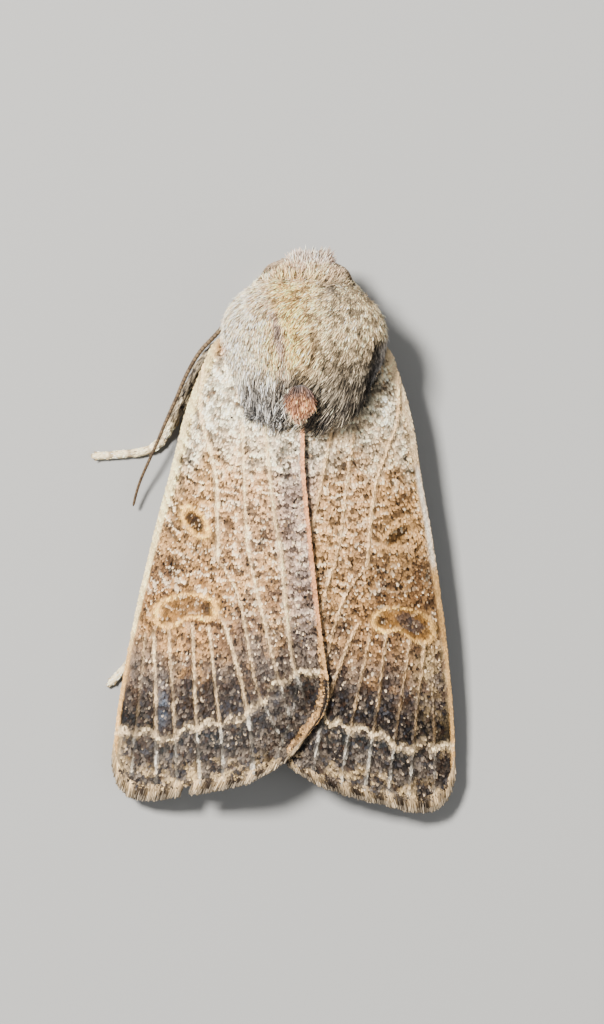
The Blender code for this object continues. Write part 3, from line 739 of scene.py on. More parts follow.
def scalePlaces(surface, vEnd, random):
    # rows of scales across the wing, each row split evenly by its own length and shaken a little
    rows = int(scaleCoat["wingLength"] * vEnd / scaleCoat["rowGap"])
    rowV = (np.arange(rows) + 0.5) / rows * vEnd
    line = surface(*np.broadcast_arrays(np.linspace(0, 1, 40), rowV[:, None]))
    rowLength = np.linalg.norm(np.diff(line, axis=1), axis=-1).sum(axis=1)
    each = np.maximum((rowLength / scaleCoat["sideGap"]).astype(int), 4)
    row = np.repeat(np.arange(rows), each)
    order = np.arange(each.sum()) - np.repeat(np.cumsum(each) - each, each)
    place = (order + 0.25 + 0.5 * (row % 2) + 0.35 * (random.random(len(row)) - 0.5)) / each[row]
    wave = 0.9 * (noise(flat(place * each[row] / 8, row / 7), 1.0, 33) - 0.5)
    v = rowV[row] + ((random.random(len(row)) - 0.5) * 0.35 + wave) * vEnd / rows
    return np.clip(place, 0.001, 0.999), np.clip(v, 0.001, vEnd), row


def scaleShapes(surface, side, u, v, random):
    # every scale is a thin plate of five corners that lies back over the next row, with a sixth below:
    # corner = root + along the scale * its length + across it * its width + outward * the rise to its end
    look, count = scaleCoat, len(u)
    here, outward, _, flow = framesOn(surface, u, v)
    outward = outward * np.sign(outward[:, 2:3])
    calm = calmPlaces(*onPlan(here, side), side)
    swing = 0.22 * bell(random, count) * (1 - 0.8 * calm)
    lie = unit(flow + unit(np.cross(flow, outward)) * swing[:, None])
    across = unit(np.cross(lie, outward))
    size = 1 + 0.18 * bell(random, count)
    length, width = look["length"] * size, look["width"] * size * (1 - 0.35 * calm)
    outline = np.array([(0, 0), (0.45, -1.0), (0.98, -0.6), (0.98, 0.6), (0.45, 1.0)])
    rise = np.array([0.1, 0.5, 1.0, 1.0, 0.5]) * look["lift"]
    tilt = (1 + 0.4 * bell(random, count)) * (1 - 0.6 * calm)
    roll = 0.35 * bell(random, count) * (1 - 0.8 * calm)
    height = rise[None] * tilt[:, None] + outline[None, :, 1] * roll[:, None] * width[:, None] * 0.5 + 0.006
    plate = here[:, None] + outward[:, None] * height[..., None] \
        + lie[:, None] * (outline[None, :, :1] * length[:, None, None]) \
        + across[:, None] * (outline[None, :, 1:] * width[:, None, None])
    below = here + lie * length[:, None] * 0.5 + outward * (height.mean(axis=1) - look["thickness"])[:, None]
    points = np.concatenate([plate, below[:, None]], axis=1)
    fan = [(0, k, k + 1) for k in range(1, 4)] + [(k, 5, (k + 1) % 5) for k in range(5)]
    faces = (np.array(fan)[None, :, ::-1] + np.arange(count)[:, None, None] * 6).reshape(-1, 3)
    patch = np.vstack([outline - (0.5, 0), [(0, 0)]]) * (0.003, 0.0015)
    uv = mapUv(u, v)[:, None] + patch[None]
    return points.reshape(-1, 3), faces, uv.reshape(-1, 2), here + lie * length[:, None] * 0.7


def scalePaint(x, y, row, side, paintOf, random):
    # the wing's colour at each scale; brightness ripples along the rows as painted light and shade, and some
    # scales take a dark or ochre tone or a painted glint highlight, but not on the pale lines
    look, count = scaleCoat, len(x)
    odd = 1 - 0.85 * calmPlaces(x, y, side)
    # painted light and shade that ripples along the rows of scales
    rowShading = noise(vectors(x / 0.24, row * 0.83, 40.0 + side), 1.0, 35) - 0.5
    rowShading = rowShading + (0.09 * (row % 2) - 0.045) * hump(x, 2.0, 1.6) * hump(y, 0.3, 3.2)
    toneAndRowShading = (look["contrast"] * bell(random, count) + look["rowShadingContrast"] * rowShading) * (0.15 + 0.85 * odd)
    muted = (side < 0) * hump(x, 4.0, 1.9) * hump(y, 1.0, 2.2)
    bright = np.exp(np.minimum(toneAndRowShading, 0.32 - 0.18 * muted))
    draw = random.random(count)
    outer = ease((y - 4.5) / 1.5)
    loose = odd * (1 - 0.55 * hump(x, 5.0, 0.8) * hump(y, 6.5, 0.5))
    lumps = noise(flat(x + 7.0 * side, y), 0.1, 37)
    isDark, isGlint = draw < look["darkShare"], draw > 1 - look["glintShare"] + 0.03 * outer
    isOchre = (draw > 0.93 - look["ochreShare"]) & (draw < 0.93)
    colour = laid(paintOf(x, y, side), wingTones, [
        # painted shade in the rows' troughs and painted highlight on their crests
        ("deepBrown", 0.6 * odd * ease((-0.09 - rowShading) / 0.16) * (0.35 + 0.65 * ease((y + 4.2) / 2))),
        ("base", 0.35 * odd * ease((rowShading - 0.2) / 0.12) * (1 - ease((y - 2.0) / 2)) * (1 - 0.8 * muted)),
        ("dark", (0.5 + 0.35 * ease((y + 4) / 2)) * loose * isDark),
        ("dusty", 0.5 * outer * loose * ease((lumps - 0.56) / 0.2)),
        ("slate", 0.55 * outer * loose * ease((0.42 - lumps) / 0.15)),
        # painted glint highlights on single scales
        ("glint", (0.8 - 0.42 * outer) * loose * isGlint),
        ("ochre", 0.45 * loose * isOchre * (1 - ease((y - 2.8) / 1.5))),
    ])
    share = np.array([0.45, 0.8, 1.1, 1.1, 0.8, 0.5])  # painted shade at the roots, under the row before, and painted highlight on the raised ends
    return (colour[:, None] * bright[:, None, None] * share[None, :, None]).reshape(-1, 3)


def makeScales(name, surface, side, slot, node, paintOf, vEnd, seed):
    random = np.random.default_rng(seed)
    u, v, row = scalePlaces(surface, vEnd, random)
    points, faces, uv, seen = scaleShapes(surface, side, u, v, random)
    paint = scalePaint(*onPlan(seen, side), row, side, paintOf, random)
    finish(name, points, faces, scaleFinish, [node], paint, uv, smooth=False)


fringeCoat = {
    "count": 2600, "hindCount": 900, "width": 0.02, "rootV": 0.968, "hindRootV": 0.95, "shortShare": 0.4,
    "cornerShare": 0.24,  # the last part of them, round the inner corner
    "buried": 0.06,  # how far each root stands inside the membrane's edge
    "wornAt": 3.25, "wornHalf": 0.19, "wornFade": 0.06,  # a short stretch of the left wing, worn off
    "bright": {1: 1.0, -1: 0.82},
    "veinEnds": (5.9, 5.62, 5.2, 4.35, 3.6, 2.85, 2.05, 1.05, 0.3, -0.45),
    "root": tone(88, 78, 70), "paleRoot": tone(226, 202, 166),
    "tip": tone(172, 160, 144), "paleTip": tone(228, 210, 182),
}


def makeFringe(name, surface, side, slot, node, paintPair, count, seed, rootV, cornerFrom, worn=False):
    # hair-like scales along the outer edge, in a long row and a short one over it, out to the wing's outline
    look, random = fringeCoat, np.random.default_rng(seed)
    share, cornerShare = random.random(count), look["cornerShare"]
    onOuter = share < 1 - cornerShare
    innerV = cornerFrom + (1 - cornerFrom) * (1 - (share - 1 + cornerShare) / cornerShare)
    u = np.where(onOuter, 0.004 + 0.99 * share / (1 - cornerShare), 0.975)
    v = np.where(onOuter, rootV, np.minimum(innerV, rootV))
    tipU, tipV = np.where(onOuter, u, 1.0), np.where(onOuter, 1.0, np.minimum(innerV + 0.02, 1.0))
    here, outward, _, _ = framesOn(surface, u, v)
    outward = outward * np.sign(outward[:, 2:3])
    reach = surface(tipU, tipV) - here
    lie = unit(unit(reach) + 0.07 * bell(random, count, 3))
    short = random.random(count) < look["shortShare"]
    length = np.where(short, 0.66, 1.0) + 0.06 * (noise(here, 0.12, 211) - 0.5)
    length = np.linalg.norm(reach, axis=1) * length * (1 + 0.05 * bell(random, count)) + look["buried"]
    if worn:
        insideNotch = look["wornHalf"] - np.abs(here[:, 0] - look["wornAt"])
        length = length * (1 - 0.75 * ease(insideNotch / look["wornFade"]))
    points, faces, along01, uv = tuftShapes(
        here - lie * look["buried"] + outward * (0.012 + 0.02 * short)[:, None], lie, outward, length,
        look["width"] * (1 + 0.2 * bell(random, count)), 0.03, 0.06, mapUv(u, v), blunt=0.8)
    rootTone, tipTone = paintPair(onPlan(here, side)[0], short[:, None], random)
    bright = look["bright"][side] * np.exp(0.36 * bell(random, count))
    finish(name, points, faces, fringeFinish, [node], tuftPaint(rootTone, tipTone, along01, bright), uv)


def forewingFringePaint(x, short, random):
    # cream where the veins end and brown between them, greyer and paler towards the tips
    look = fringeCoat
    creamy = hump(np.abs(x[:, None] - look["veinEnds"]).min(axis=1), 0, 0.17)
    root, tip = over(look["root"], look["paleRoot"], creamy), over(look["tip"], look["paleTip"], 0.6 * creamy)
    tip = np.where(random.random((len(x), 1)) < 0.3, tip * 0.5, tip)
    return np.where(short, root * 0.9, root), np.where(short, root * 0.8, tip)


def hindwingFringePaint(x, short, random):
    return hindwingTones["fringeRoot"], hindwingTones["fringeTip"]


forewingPlan = wingPlan(forewingCosta, forewingTermen, forewingDorsum)
hindwingPlan = wingPlan(hindwingCosta, hindwingTermen, hindwingDorsum)
for word, side in sides:
    print(f"wings, {word}")
    name, look, sheet = word.capitalize(), fringeCoat, wingSheet
    forewing = wingMaker(forewingPlan, forewingTop, side, forewingRelief, wingShape["bend"])
    place = (forewing, side, "forewing", f"forewing_{word}")
    makeMembrane(f"forewing{name}", *place, forewingPaint, look["rootV"] + 0.006, sheet["forewingGrid"])
    makeScales(f"forewingScales{name}", *place, forewingPaint, look["rootV"] + 0.004, 11 + side)
    makeFringe(f"forewingFringe{name}", *place, forewingFringePaint, look["count"], 21 + side,
               look["rootV"], 0.8, worn=side > 0)
    hindwing = wingMaker(hindwingPlan, hindwingTop, side, hindwingRelief)
    place = (hindwing, side, "hindwing", f"hindwing_{word}")
    makeMembrane(f"hindwing{name}", *place, hindwingPaint, sheet["hindwingEnd"], sheet["hindwingGrid"])
    makeFringe(f"hindwingFringe{name}", *place, hindwingFringePaint, look["hindCount"], 31 + side,
               look["hindRootV"], 0.6)


# One skin covers head, thorax, abdomen, palps and legs. Its stations:
# along the body, half-width, top, bottom and level of the widest point, out to the fur's tips
bodyStations = {
    "thorax": (
        (-8.75, 1.0, 3.65, 2.95, 3.25), (-8.55, 1.5, 4.0, 2.8, 3.15), (-8.1, 2.22, 4.45, 2.15, 2.95),
        (-7.5, 2.78, 4.88, 1.5, 2.75), (-6.8, 3.02, 5.1, 1.25, 2.7), (-6.0, 2.95, 5.15, 1.25, 2.8),
        (-5.2, 2.62, 5.05, 1.5, 3.0), (-4.5, 2.3, 4.85, 2.4, 3.3), (-4.05, 1.95, 4.7, 3.1, 3.7),
        (-3.8, 1.4, 4.55, 3.7, 4.1),
    ),
    "abdomen": (
        (-5.6, 1.2, 2.7, 0.9, 1.8), (-4.6, 1.5, 2.9, 0.55, 1.75), (-3.0, 1.62, 2.85, 0.45, 1.65),
        (-1.0, 1.58, 2.65, 0.45, 1.55), (1.0, 1.42, 2.4, 0.45, 1.45), (3.0, 1.15, 2.1, 0.5, 1.3),
        (4.4, 0.85, 1.8, 0.6, 1.2), (5.4, 0.35, 1.5, 0.85, 1.15),
    ),
    "head": (
        (-9.05, 0.55, 2.65, 1.6, 2.15), (-8.8, 0.97, 3.0, 1.35, 2.2),
        (-8.4, 1.0, 3.05, 1.35, 2.25), (-7.9, 0.9, 2.9, 1.5, 2.3),
    ),
}
bodyLook = {
    # skinShade and legShade darken the skin's paint, as painted shade under the fur and the leg scales
    "sectionPower": 2.2, "voxel": 0.07, "smoothing": 8, "skinShade": 0.55, "legShade": 0.85,
    "coats": {"thorax": 0.27, "abdomen": 0.14, "head": 0.12},
    "thoraxMiddle": (0, -6.4, 3.2), "headMiddle": (0, -8.4, 2.2),
    "neckMiddle": (0, -8.1, 2.7), "neckSize": (0.95, 0.9, 0.7),
    "palpPath": ((0.27, -8.75, 1.5), (0.27, -9.05, 1.32), (0.29, -9.27, 1.65), (0.29, -9.3, 2.25)),
}


def bodySurface(name):
    # surface(u, v): u runs from front to rear, v goes round a superellipse that stands across the body
    line, coat = smoothLine(bodyStations[name], 200), bodyLook["coats"][name]

    def surface(u, v):
        y, half, top, bottom, level = np.moveaxis(along(line, u), -1, 0)
        angle, power = 2 * math.pi * v, 2 / bodyLook["sectionPower"]
        out = np.sign(np.cos(angle)) * np.abs(np.cos(angle)) ** power
        up = np.sign(np.sin(angle)) * np.abs(np.sin(angle)) ** power
        reach = np.maximum(np.where(up > 0, top - level, level - bottom) - coat, 0.03)
        return vectors(out * np.maximum(half - coat, 0.05), y, level + up * reach)
    return surface


def ballSurface(centre, size):  # surface(u, v): an ellipsoid, u from top to bottom
    def surface(u, v):
        polar, angle = math.pi * u, -2 * math.pi * v
        across = np.sin(polar)
        return centre + vectors(across * np.cos(angle), across * np.sin(angle), np.cos(polar)) * size
    return surface


def tubeSurface(path, radius, count=120):
    # surface(u, v): a circle of radius(u) carried along the path, with a frame kept upright
    line = smoothLine(path, count)
    forward = unit(np.gradient(line, axis=0))
    side = unit(np.cross(forward, (0.0, 0.0, 1.0)))
    frameLine = np.hstack([line, side, np.cross(side, forward)])

    def surface(u, v):
        at, angle = along(frameLine, u), 2 * math.pi * v[..., None]
        r = radius(np.clip(u, 0, 1))[..., None]
        return at[..., :3] + r * (np.cos(angle) * at[..., 3:6] + np.sin(angle) * at[..., 6:9])
    return surface


def closedTube(surface, rows, around):
    # the surface's grid with a middle point closing each end, and the share along it of every point
    u, v = np.meshgrid(np.linspace(0, 1, rows), np.arange(around) / around, indexing="ij")
    points = surface(u, v).reshape(-1, 3)
    quads = gridFaces(rows, around, closed=True)
    ends = np.stack([points[:around].mean(axis=0), points[-around:].mean(axis=0)])
    first, last = np.full(around, len(points)), np.full(around, len(points) + 1)
    edge = np.arange(around)
    after = (edge + 1) % around
    rear = (rows - 1) * around
    caps = np.concatenate([
        np.stack([first, after, edge], axis=1),
        np.stack([last, rear + edge, rear + after], axis=1),
    ])
    return np.vstack([points, ends]), quads.tolist() + caps.tolist(), np.append(u.ravel(), (0, 1))


def joined(forms):  # several (points, faces) as one
    points, faces, start = [], [], 0
    for these, shape in forms:
        points.append(these)
        faces += [[corner + start for corner in face] for face in shape]
        start += len(these)
    return np.vstack(points), faces


def meltedTogether(forms):
    # one closed skin round all the forms: a voxel remesh and a few passes of smoothing, in whole millimetres
    points, faces = joined(forms)
    mesh = bpy.data.meshes.new("melt")
    mesh.from_pydata(points, [], faces)
    melt = placed("melt", mesh)
    remesh = melt.modifiers.new("remesh", "REMESH")
    remesh.mode = "VOXEL"
    remesh.voxel_size = bodyLook["voxel"]
    soften = melt.modifiers.new("soften", "SMOOTH")
    soften.factor = 0.5
    soften.iterations = bodyLook["smoothing"]
    bpy.context.view_layer.update()
    shape = bpy.data.meshes.new_from_object(melt.evaluated_get(bpy.context.evaluated_depsgraph_get()))
    place = np.empty(len(shape.vertices) * 3, np.float32)
    shape.vertices.foreach_get("co", place)
    corner = np.empty(len(shape.loops), np.int32)
    shape.loops.foreach_get("vertex_index", corner)
    bpy.data.objects.remove(melt)
    return place.reshape(-1, 3), corner.reshape(-1, 4).tolist()


legLook = {
    "thigh": 0.24, "knee": 0.17, "shin": 0.21, "foot": 0.15, "solidFoot": 0.2,  # half-thicknesses
    "kneeAt": 0.34, "ankleAt": 0.62,  # shares of the leg's length
    "shinTone": tone(196, 182, 158), "speckle": tone(74, 66, 58),
    "footTone": tone(255, 240, 206), "footRing": tone(150, 122, 92),
}
hipPaths = {
    "midleg": ((0.9, -6.2, 1.7), (1.6, -5.95, 0.95)),
    "hindleg": ((1.2, -5.5, 1.75), (1.95, -5.0, 0.98)),
}
legPaths = {  # left, then right as if it were on the left
    "foreleg": (
        ((0.8, -7.2, 1.7), (1.35, -6.95, 1.0), (2.15, -7.25, 0.72), (1.95, -8.0, 0.46),
         (1.6, -8.5, 0.26), (1.2, -8.85, 0.2), (0.8, -9.1, 0.2)),
    ) * 2,
    "midleg": (
        (*hipPaths["midleg"], (2.8, -6.2, 0.68), (3.4, -5.7, 0.56), (3.8, -4.85, 0.5), (4.2, -4.0, 0.42),
         (4.58, -3.2, 0.34), (4.92, -2.72, 0.25), (5.45, -2.48, 0.2), (6.3, -2.35, 0.2), (7.15, -2.25, 0.2)),
        (*hipPaths["midleg"], (2.6, -6.2, 0.68), (3.0, -5.6, 0.58), (3.15, -4.8, 0.42),
         (3.3, -3.9, 0.32), (3.45, -3.2, 0.2), (3.65, -2.0, 0.2), (3.8, -0.8, 0.2)),
    ),
    "hindleg": (
        (*hipPaths["hindleg"], (2.55, -3.6, 0.8), (3.1, -1.4, 0.6), (3.7, 1.0, 0.4),
         (4.2, 2.3, 0.24), (4.9, 3.6, 0.2), (5.6, 4.85, 0.2), (6.25, 5.65, 0.2)),
        (*hipPaths["hindleg"], (2.5, -3.6, 0.8), (2.9, -1.4, 0.6), (3.3, 1.0, 0.4),
         (3.6, 2.2, 0.24), (4.1, 3.4, 0.2), (4.5, 4.4, 0.2), (4.8, 5.3, 0.2)),
    ),
}


def footShare(u):  # 0 down to the ankle, then growing to 1 at the toe
    return np.clip((u - legLook["ankleAt"]) / (1 - legLook["ankleAt"]), 0, 1)


def legRadius(u):  # thigh, knee, shin, then five joints of the foot as shallow beads
    look = legLook
    thigh, shin, foot = look["thigh"], look["shin"], look["foot"]
    kneeAt, ankleAt = look["kneeAt"], look["ankleAt"]
    basic = np.interp(u, (0, 0.2, kneeAt, kneeAt + 0.05, 0.5, ankleAt, ankleAt + 0.03, 1),
                      (thigh, thigh, look["knee"], shin * 0.85, shin, shin * 0.8, foot, foot * 0.75))
    beads = 0.12 * np.abs(np.sin(math.pi * 5 * footShare(u))) * (footShare(u) > 0)
    return basic * (1 + beads) * np.sqrt(np.clip((1.002 - u) / 0.02, 0.05, 1))


def legLine(path, side):  # the solid's centre line, let down so that the thinner foot lies on the floor
    line = smoothLine(np.array(path) * (side, 1, 1), 60)
    low = 1 - ease((line[:, 2] - legLook["solidFoot"]) / 0.45)
    line[:, 2] -= (legLook["solidFoot"] - legLook["foot"]) * low
    return line


def legTone(points, u):  # speckled grey-brown down to the ankle, then cream with brown rings at the joints
    look = legLook
    shin = over(look["shinTone"], look["speckle"], ease(mottle(points, 0.2, 141) * 4 - 1.5))
    rings = np.abs(np.sin(math.pi * 5 * footShare(u))) < 0.3
    foot = over(look["footTone"], look["footRing"], rings * 0.6)
    return over(shin, foot, ease((u - look["ankleAt"] + 0.03) / 0.03))


furTones = {
    "plain": tone(255, 238, 208), "gold": tone(255, 220, 158), "cream": tone(255, 240, 220),
    "apricot": tone(250, 206, 160), "buff": tone(216, 196, 164), "pearl": tone(236, 232, 228),
    "grey": tone(158, 150, 138), "lilac": tone(172, 160, 168), "midlineShadow": tone(92, 70, 50),
    "blackish": tone(58, 54, 56), "slate": tone(106, 106, 112), "brown": tone(132, 104, 84),
    "mauve": tone(206, 184, 178), "orange": tone(244, 166, 112), "slateClump": tone(84, 86, 94),
    "brownClump": tone(96, 82, 66), "silver": tone(196, 194, 196), "shadowedGap": tone(44, 38, 36),
    "rim": tone(224, 202, 180), "below": tone(176, 158, 138), "head": tone(206, 186, 162),
    "headDark": tone(150, 132, 114), "rear": tone(200, 184, 160), "rearDark": tone(138, 122, 106),
    "face": tone(236, 216, 198), "faceRufous": tone(214, 160, 128), "faceSlate": tone(176, 168, 166),
    "rufous": tone(226, 178, 140), "rufousDark": tone(160, 124, 104), "rufousPale": tone(236, 216, 194),
    "crestFront": tone(112, 104, 102),
}


def furTone(points):
    # the thorax: golden cream in front, paler on the left, greyer behind and darker on the right,
    # with a lilac streak, a painted shadow beside the middle line, a slate patch and a painted shadow in the
    # gap along the right wing's base
    x, y, z = np.moveaxis(points, -1, 0)
    wander, lumps = mottle(points, 0.9, 81), noise(points, 0.22, 89)
    lilacX = np.interp(y, (-7.9, -7.0, -5.8), (1.25, 0.88, 0.64))
    midlineShadowX = np.interp(y, (-7.6, -7.06, -6.45, -5.37), (-0.23, -0.4, -0.52, -0.28))
    shadowedGap = -x - np.interp(y, (-7.0, -6.5, -5.0, -4.2), (2.75, 2.4, 2.15, 1.85))
    return laid(furTones["plain"], furTones, [
        ("gold", (1 - ease((y + 6.0) / 1.6)) * hump(x, 0.45, 1.1)),
        ("cream", 0.96 * ease((x - 1.0) / 0.8) * wander),
        ("apricot", 0.7 * hump(x, 2.0, 0.6) * hump(y, -7.4, 0.7) * ease(noise(points, 0.3, 83) * 4 - 1.8)),
        ("buff", 0.75 * ease((-x - 0.3) / 0.8)),
        ("pearl", 0.75 * ease((y + 5.2 + wander) / 1.1) * ease((x + 0.2) / 0.5)),
        ("grey", 0.85 * ease((y + 5.8 - 0.4 * x) / 1.4) * ease((-x - 0.1) / 0.5)),
        ("lilac", 0.8 * hump(x, lilacX, 0.2) * hump(y, -6.7, 1.5)),
        # painted shadow on the right slope beside the middle line
        ("midlineShadow", 0.9 * hump(x, midlineShadowX, 0.14) * hump(y, -6.2, 1.0)),
        ("blackish", 0.9 * hump(x, 0.0, 0.55) * hump(y, -5.2, 0.26)),
        ("slate", 0.75 * hump(x, -0.92, 0.24) * hump(y, -8.2, 0.2)),
        ("brown", 0.6 * hump(x, -0.85, 0.4) * hump(y, -8.6, 0.16)),
        ("mauve", 0.7 * hump(x, 0.3, 0.45) * hump(y, -8.65, 0.28)),
        ("orange", 0.85 * hump(x, 2.85, 0.25) * hump(y, -6.3, 0.25)),
        ("slateClump", 0.75 * ease((y + 5.1) / 0.5) * ease(lumps * 5 - 2.2)),
        ("brownClump", 0.6 * ease((-x - 0.1) / 0.6) * ease((y + 6.8) / 1.2) * ease(lumps * 6 - 3.4)),
        ("silver", 0.6 * ease(shadowedGap / 0.25) * (1 - ease((y + 5.2) / 0.8))),
        # painted shadow in the gap between the fur and the right wing's base
        ("shadowedGap", 0.95 * hump(shadowedGap, 0.1, 0.17) * ease((y + 6.9) / 0.4)),
        ("rim", 0.45 * (1 - ease((y + 8.6) / 0.3))),
        ("below", 0.5 * ease((2.7 - z) / 0.8)),
    ])


def coatTone(points):  # thorax, head and abdomen together, by their place along the body
    y, wander, tones = points[..., 1], mottle(points, 0.6, 85), furTones
    head = over(tones["head"], tones["headDark"], wander)
    rear = over(tones["rear"], tones["rearDark"], wander)
    below = ease((3.3 - points[..., 2]) / 0.4) * ease((y + 5.4) / 0.5)
    colour = over(furTone(points), head, 1 - ease((y + 8.9) / 0.3))
    return over(colour, rear, np.maximum(below, ease((y + 3.9) / 0.3)))


def bodyUv(points):  # a cylinder round the body, unrolled
    angle = np.arctan2(points[..., 2] - 2.6, points[..., 0]) / (2 * math.pi) + 0.5
    return np.stack([angle * 0.96 + 0.02, (points[..., 1] + 10) / 20], axis=-1)


print("body skin")
thoraxSkin, abdomenSkin, headSkin = [bodySurface(name) for name in ("thorax", "abdomen", "head")]
neckSkin = ballSurface(bodyLook["neckMiddle"], bodyLook["neckSize"])  # carries the head under the collar
grids = ((thoraxSkin, 40, 48), (abdomenSkin, 50, 40), (headSkin, 24, 40), (neckSkin, 20, 24))
bodyPoints, bodyFaces = meltedTogether([closedTube(*grid)[:2] for grid in grids])
legSurfaces, palpSurfaces = {}, {}
# the skin's paint darkened by skinShade and legShade: painted shade under the fur and scales
skinForms, skinPaint = [(bodyPoints, bodyFaces)], [coatTone(bodyPoints) * bodyLook["skinShade"]]
for word, side in sides:
    for name, paths in legPaths.items():
        legSurface = tubeSurface(legLine(paths[0 if side > 0 else 1], side), legRadius)
        legSurfaces[f"{name}_{word}"] = legSurface
        points, faces, share = closedTube(legSurface, 110, 12)
        skinForms.append((points, faces))
        skinPaint.append(legTone(points, share) * bodyLook["legShade"])
    palpSurface = tubeSurface(np.array(bodyLook["palpPath"]) * (side, 1, 1),
                              lambda u: np.interp(u, (0, 0.5, 0.7, 1), (0.14, 0.17, 0.14, 0.07)))
    palpSurfaces[f"palp_{word}"] = palpSurface
    points, faces, _ = closedTube(palpSurface, 30, 12)
    skinForms.append((points, faces))
    skinPaint.append(coatTone(points) * bodyLook["skinShade"])
skinPoints, skinFaces = joined(skinForms)
finish("skin", skinPoints, skinFaces, skinFinish,
       ["head", "thorax", "abdomen", *legSurfaces, *palpSurfaces], np.vstack(skinPaint), bodyUv(skinPoints))


furCoat = {
    "usual": {  # what a coat has where its own line below says nothing else
        "lengthAt": 1, "lift": 0.5, "droop": 0.2, "depth": 0.04, "slot": "thorax_fur", "nodes": ["thorax"],
        "rootShade": 0.72, "fleck": 0.12, "streak": 0.5, "spread": 0.32,  # rootShade: painted shade at the tufts' roots; fleck, streak and spread: strengths of the dark flecks, streaks and spread of brightness
    },
    "thorax": {"count": 52000, "length": 0.36, "width": 0.0165, "droop": 0.3, "spread": 0.42},
    "collar": {"count": 4800, "length": 0.45, "width": 0.016, "lift": 0.12, "droop": 0.3},
    "crest": {"count": 2400, "length": 0.32, "width": 0.018, "lift": 0.35, "spread": 0.4},
    "abdomen": {"count": 9000, "length": 0.45, "width": 0.026, "lift": 0.26, "droop": 0.08,
                "slot": "abdomen_fur", "nodes": ["abdomen"]},
    "waist": {"count": 5000, "length": 0.4, "width": 0.026, "lift": 0.24, "droop": 0.1,
              "slot": "abdomen_fur", "nodes": ["abdomen"]},
    "head": {"count": 5200, "length": 0.3, "width": 0.018, "droop": 0.1,
             "slot": "head_fur", "nodes": ["head"]},
    "palp": {"count": 1500, "length": 0.24, "width": 0.014, "lift": 0.28, "droop": 0.1, "depth": 0.01,
             "rootShade": 0.8, "slot": "head_fur"},
    "neck": {"count": 2600, "length": 0.26, "width": 0.018, "lift": 0.4,
             "slot": "head_fur", "nodes": ["head"]},
    "face": {"count": 3000, "length": 0.5, "width": 0.018, "lift": 0.2,
             "slot": "head_fur", "nodes": ["head"]},
    "leg": {"count": 1500, "length": 0.2, "width": 0.03, "lift": 0.16, "droop": 0.1, "depth": 0.012,
            "slot": "leg"},
    "feeler": {"count": 900, "length": 0.11, "width": 0.013, "lift": 0.2, "droop": 0.1, "depth": 0.01,
               "slot": "feeler"},
}
crestLook = {"centre": (0.03, -4.45, 4.88), "size": (0.48, 0.62, 0.38)}


def lieOver(outward, wanted):  # the wanted direction laid flat on the skin
    return unit(wanted - outward * (wanted * outward).sum(axis=1, keepdims=True))


def makeFur(name, roots, outward, lie, kind, seed, toneOf, **changes):
    # a coat of tufts on their roots: changes are values that replace the coat's own, one or one for each tuft
    look, random, count = furCoat["usual"] | furCoat[kind] | changes, np.random.default_rng(seed), len(roots)
    length = look["length"] * np.exp(0.16 * bell(random, count)) * look["lengthAt"]
    rise = look["lift"] * (1 + 0.3 * bell(random, count))
    width = look["width"] * (1 + 0.2 * bell(random, count))
    points, faces, share, uv = tuftShapes(roots - outward * look["depth"], lie, outward, length, width, rise,
                                          look["droop"], bodyUv(roots), rings=2)
    colour = toneOf(roots)
    bright = 1.3 * np.exp(look["spread"] * bell(random, count))
    # streaks follow the lie of the fur, and dark flecks stand in small groups
    acrossLie = (roots * np.cross(lie, outward)).sum(axis=1)
    streaks = noise(vectors(acrossLie / 0.075, roots[:, 1] / 0.55, roots[:, 2] / 0.9), 1.0, 207)
    bright = bright * (1 + look["streak"] * 1.6 * np.clip(streaks - 0.55, -0.35, 0.2))
    flecked = random.random(count) < look["fleck"] * 2.4 * ease(noise(roots, 0.12, 201) * 4 - 1.7)
    bright = np.where(flecked, bright * 0.28, bright)
    bright = np.where(random.random(count) < 0.1, bright * 1.2, bright)
    # painted shade at each tuft's root, by rootShade, lighter towards the tip
    rootColour = colour * np.broadcast_to(look["rootShade"], count)[:, None]
    paint = tuftPaint(rootColour, colour * 1.12, share, bright)
    finish(name, points, faces, furFinish, look["nodes"], paint, uv)


def thoraxFur():
    random, look = np.random.default_rng(101), furCoat["thorax"]

    def more(points):  # sparser underneath and towards the rear
        _, y, z = np.moveaxis(points, -1, 0)
        return (0.3 + 0.7 * ease((z - 1.6) / 1.2)) * (1 - 0.35 * ease((y + 5.6) / 1.0))
    here, outward = rootsOn(thoraxSkin, look["count"], random, bodyLook["thoraxMiddle"], more)
    x, y = here[:, 0], here[:, 1]
    rear = ease((y + 5.6) / 1.0)
    slant = 0.8 * (1 - ease((x + 0.3) / 1.4) * ease((y + 7.9) / 1.2)) - 0.06
    swirl = 0.6 * (noise(here, 0.45, 91) - 0.5) + (0.5 + 0.5 * rear) * (noise(here, 0.2, 92) - 0.5)
    fan = 0.1 * x * ease((y + 8.4) / 2) * ease((x + 1) / 1.5)
    wanted = vectors(slant + swirl + fan, 1.0, 0.4 * (noise(here, 0.3, 95) - 0.5))
    lie = unit(lieOver(outward, wanted) + 0.13 * bell(random, *here.shape))
    # painted light and shade at the roots: deeper shade at the rear and on the right, lighter on the left
    # where the light falls
    lit = ease((x + 0.4) / 1.5) * (1 - rear)
    shade = 0.8 - 0.46 * np.maximum(rear, ease((-x - 0.2) / 0.8) * ease((y + 6.6) / 1.2)) + 0.12 * lit
    for index, word in enumerate(("One", "Two", "Three")):
        part = slice(index, None, 3)
        makeFur(f"thoraxFur{word}", here[part], outward[part], lie[part], "thorax", 103 + index, furTone,
                lengthAt=(0.78 + 1.2 * rear)[part], lift=(0.42 - 0.1 * rear)[part], rootShade=shade[part],
                fleck=(0.46 - 0.2 * lit)[part], streak=(0.8 + 1.1 * rear)[part])


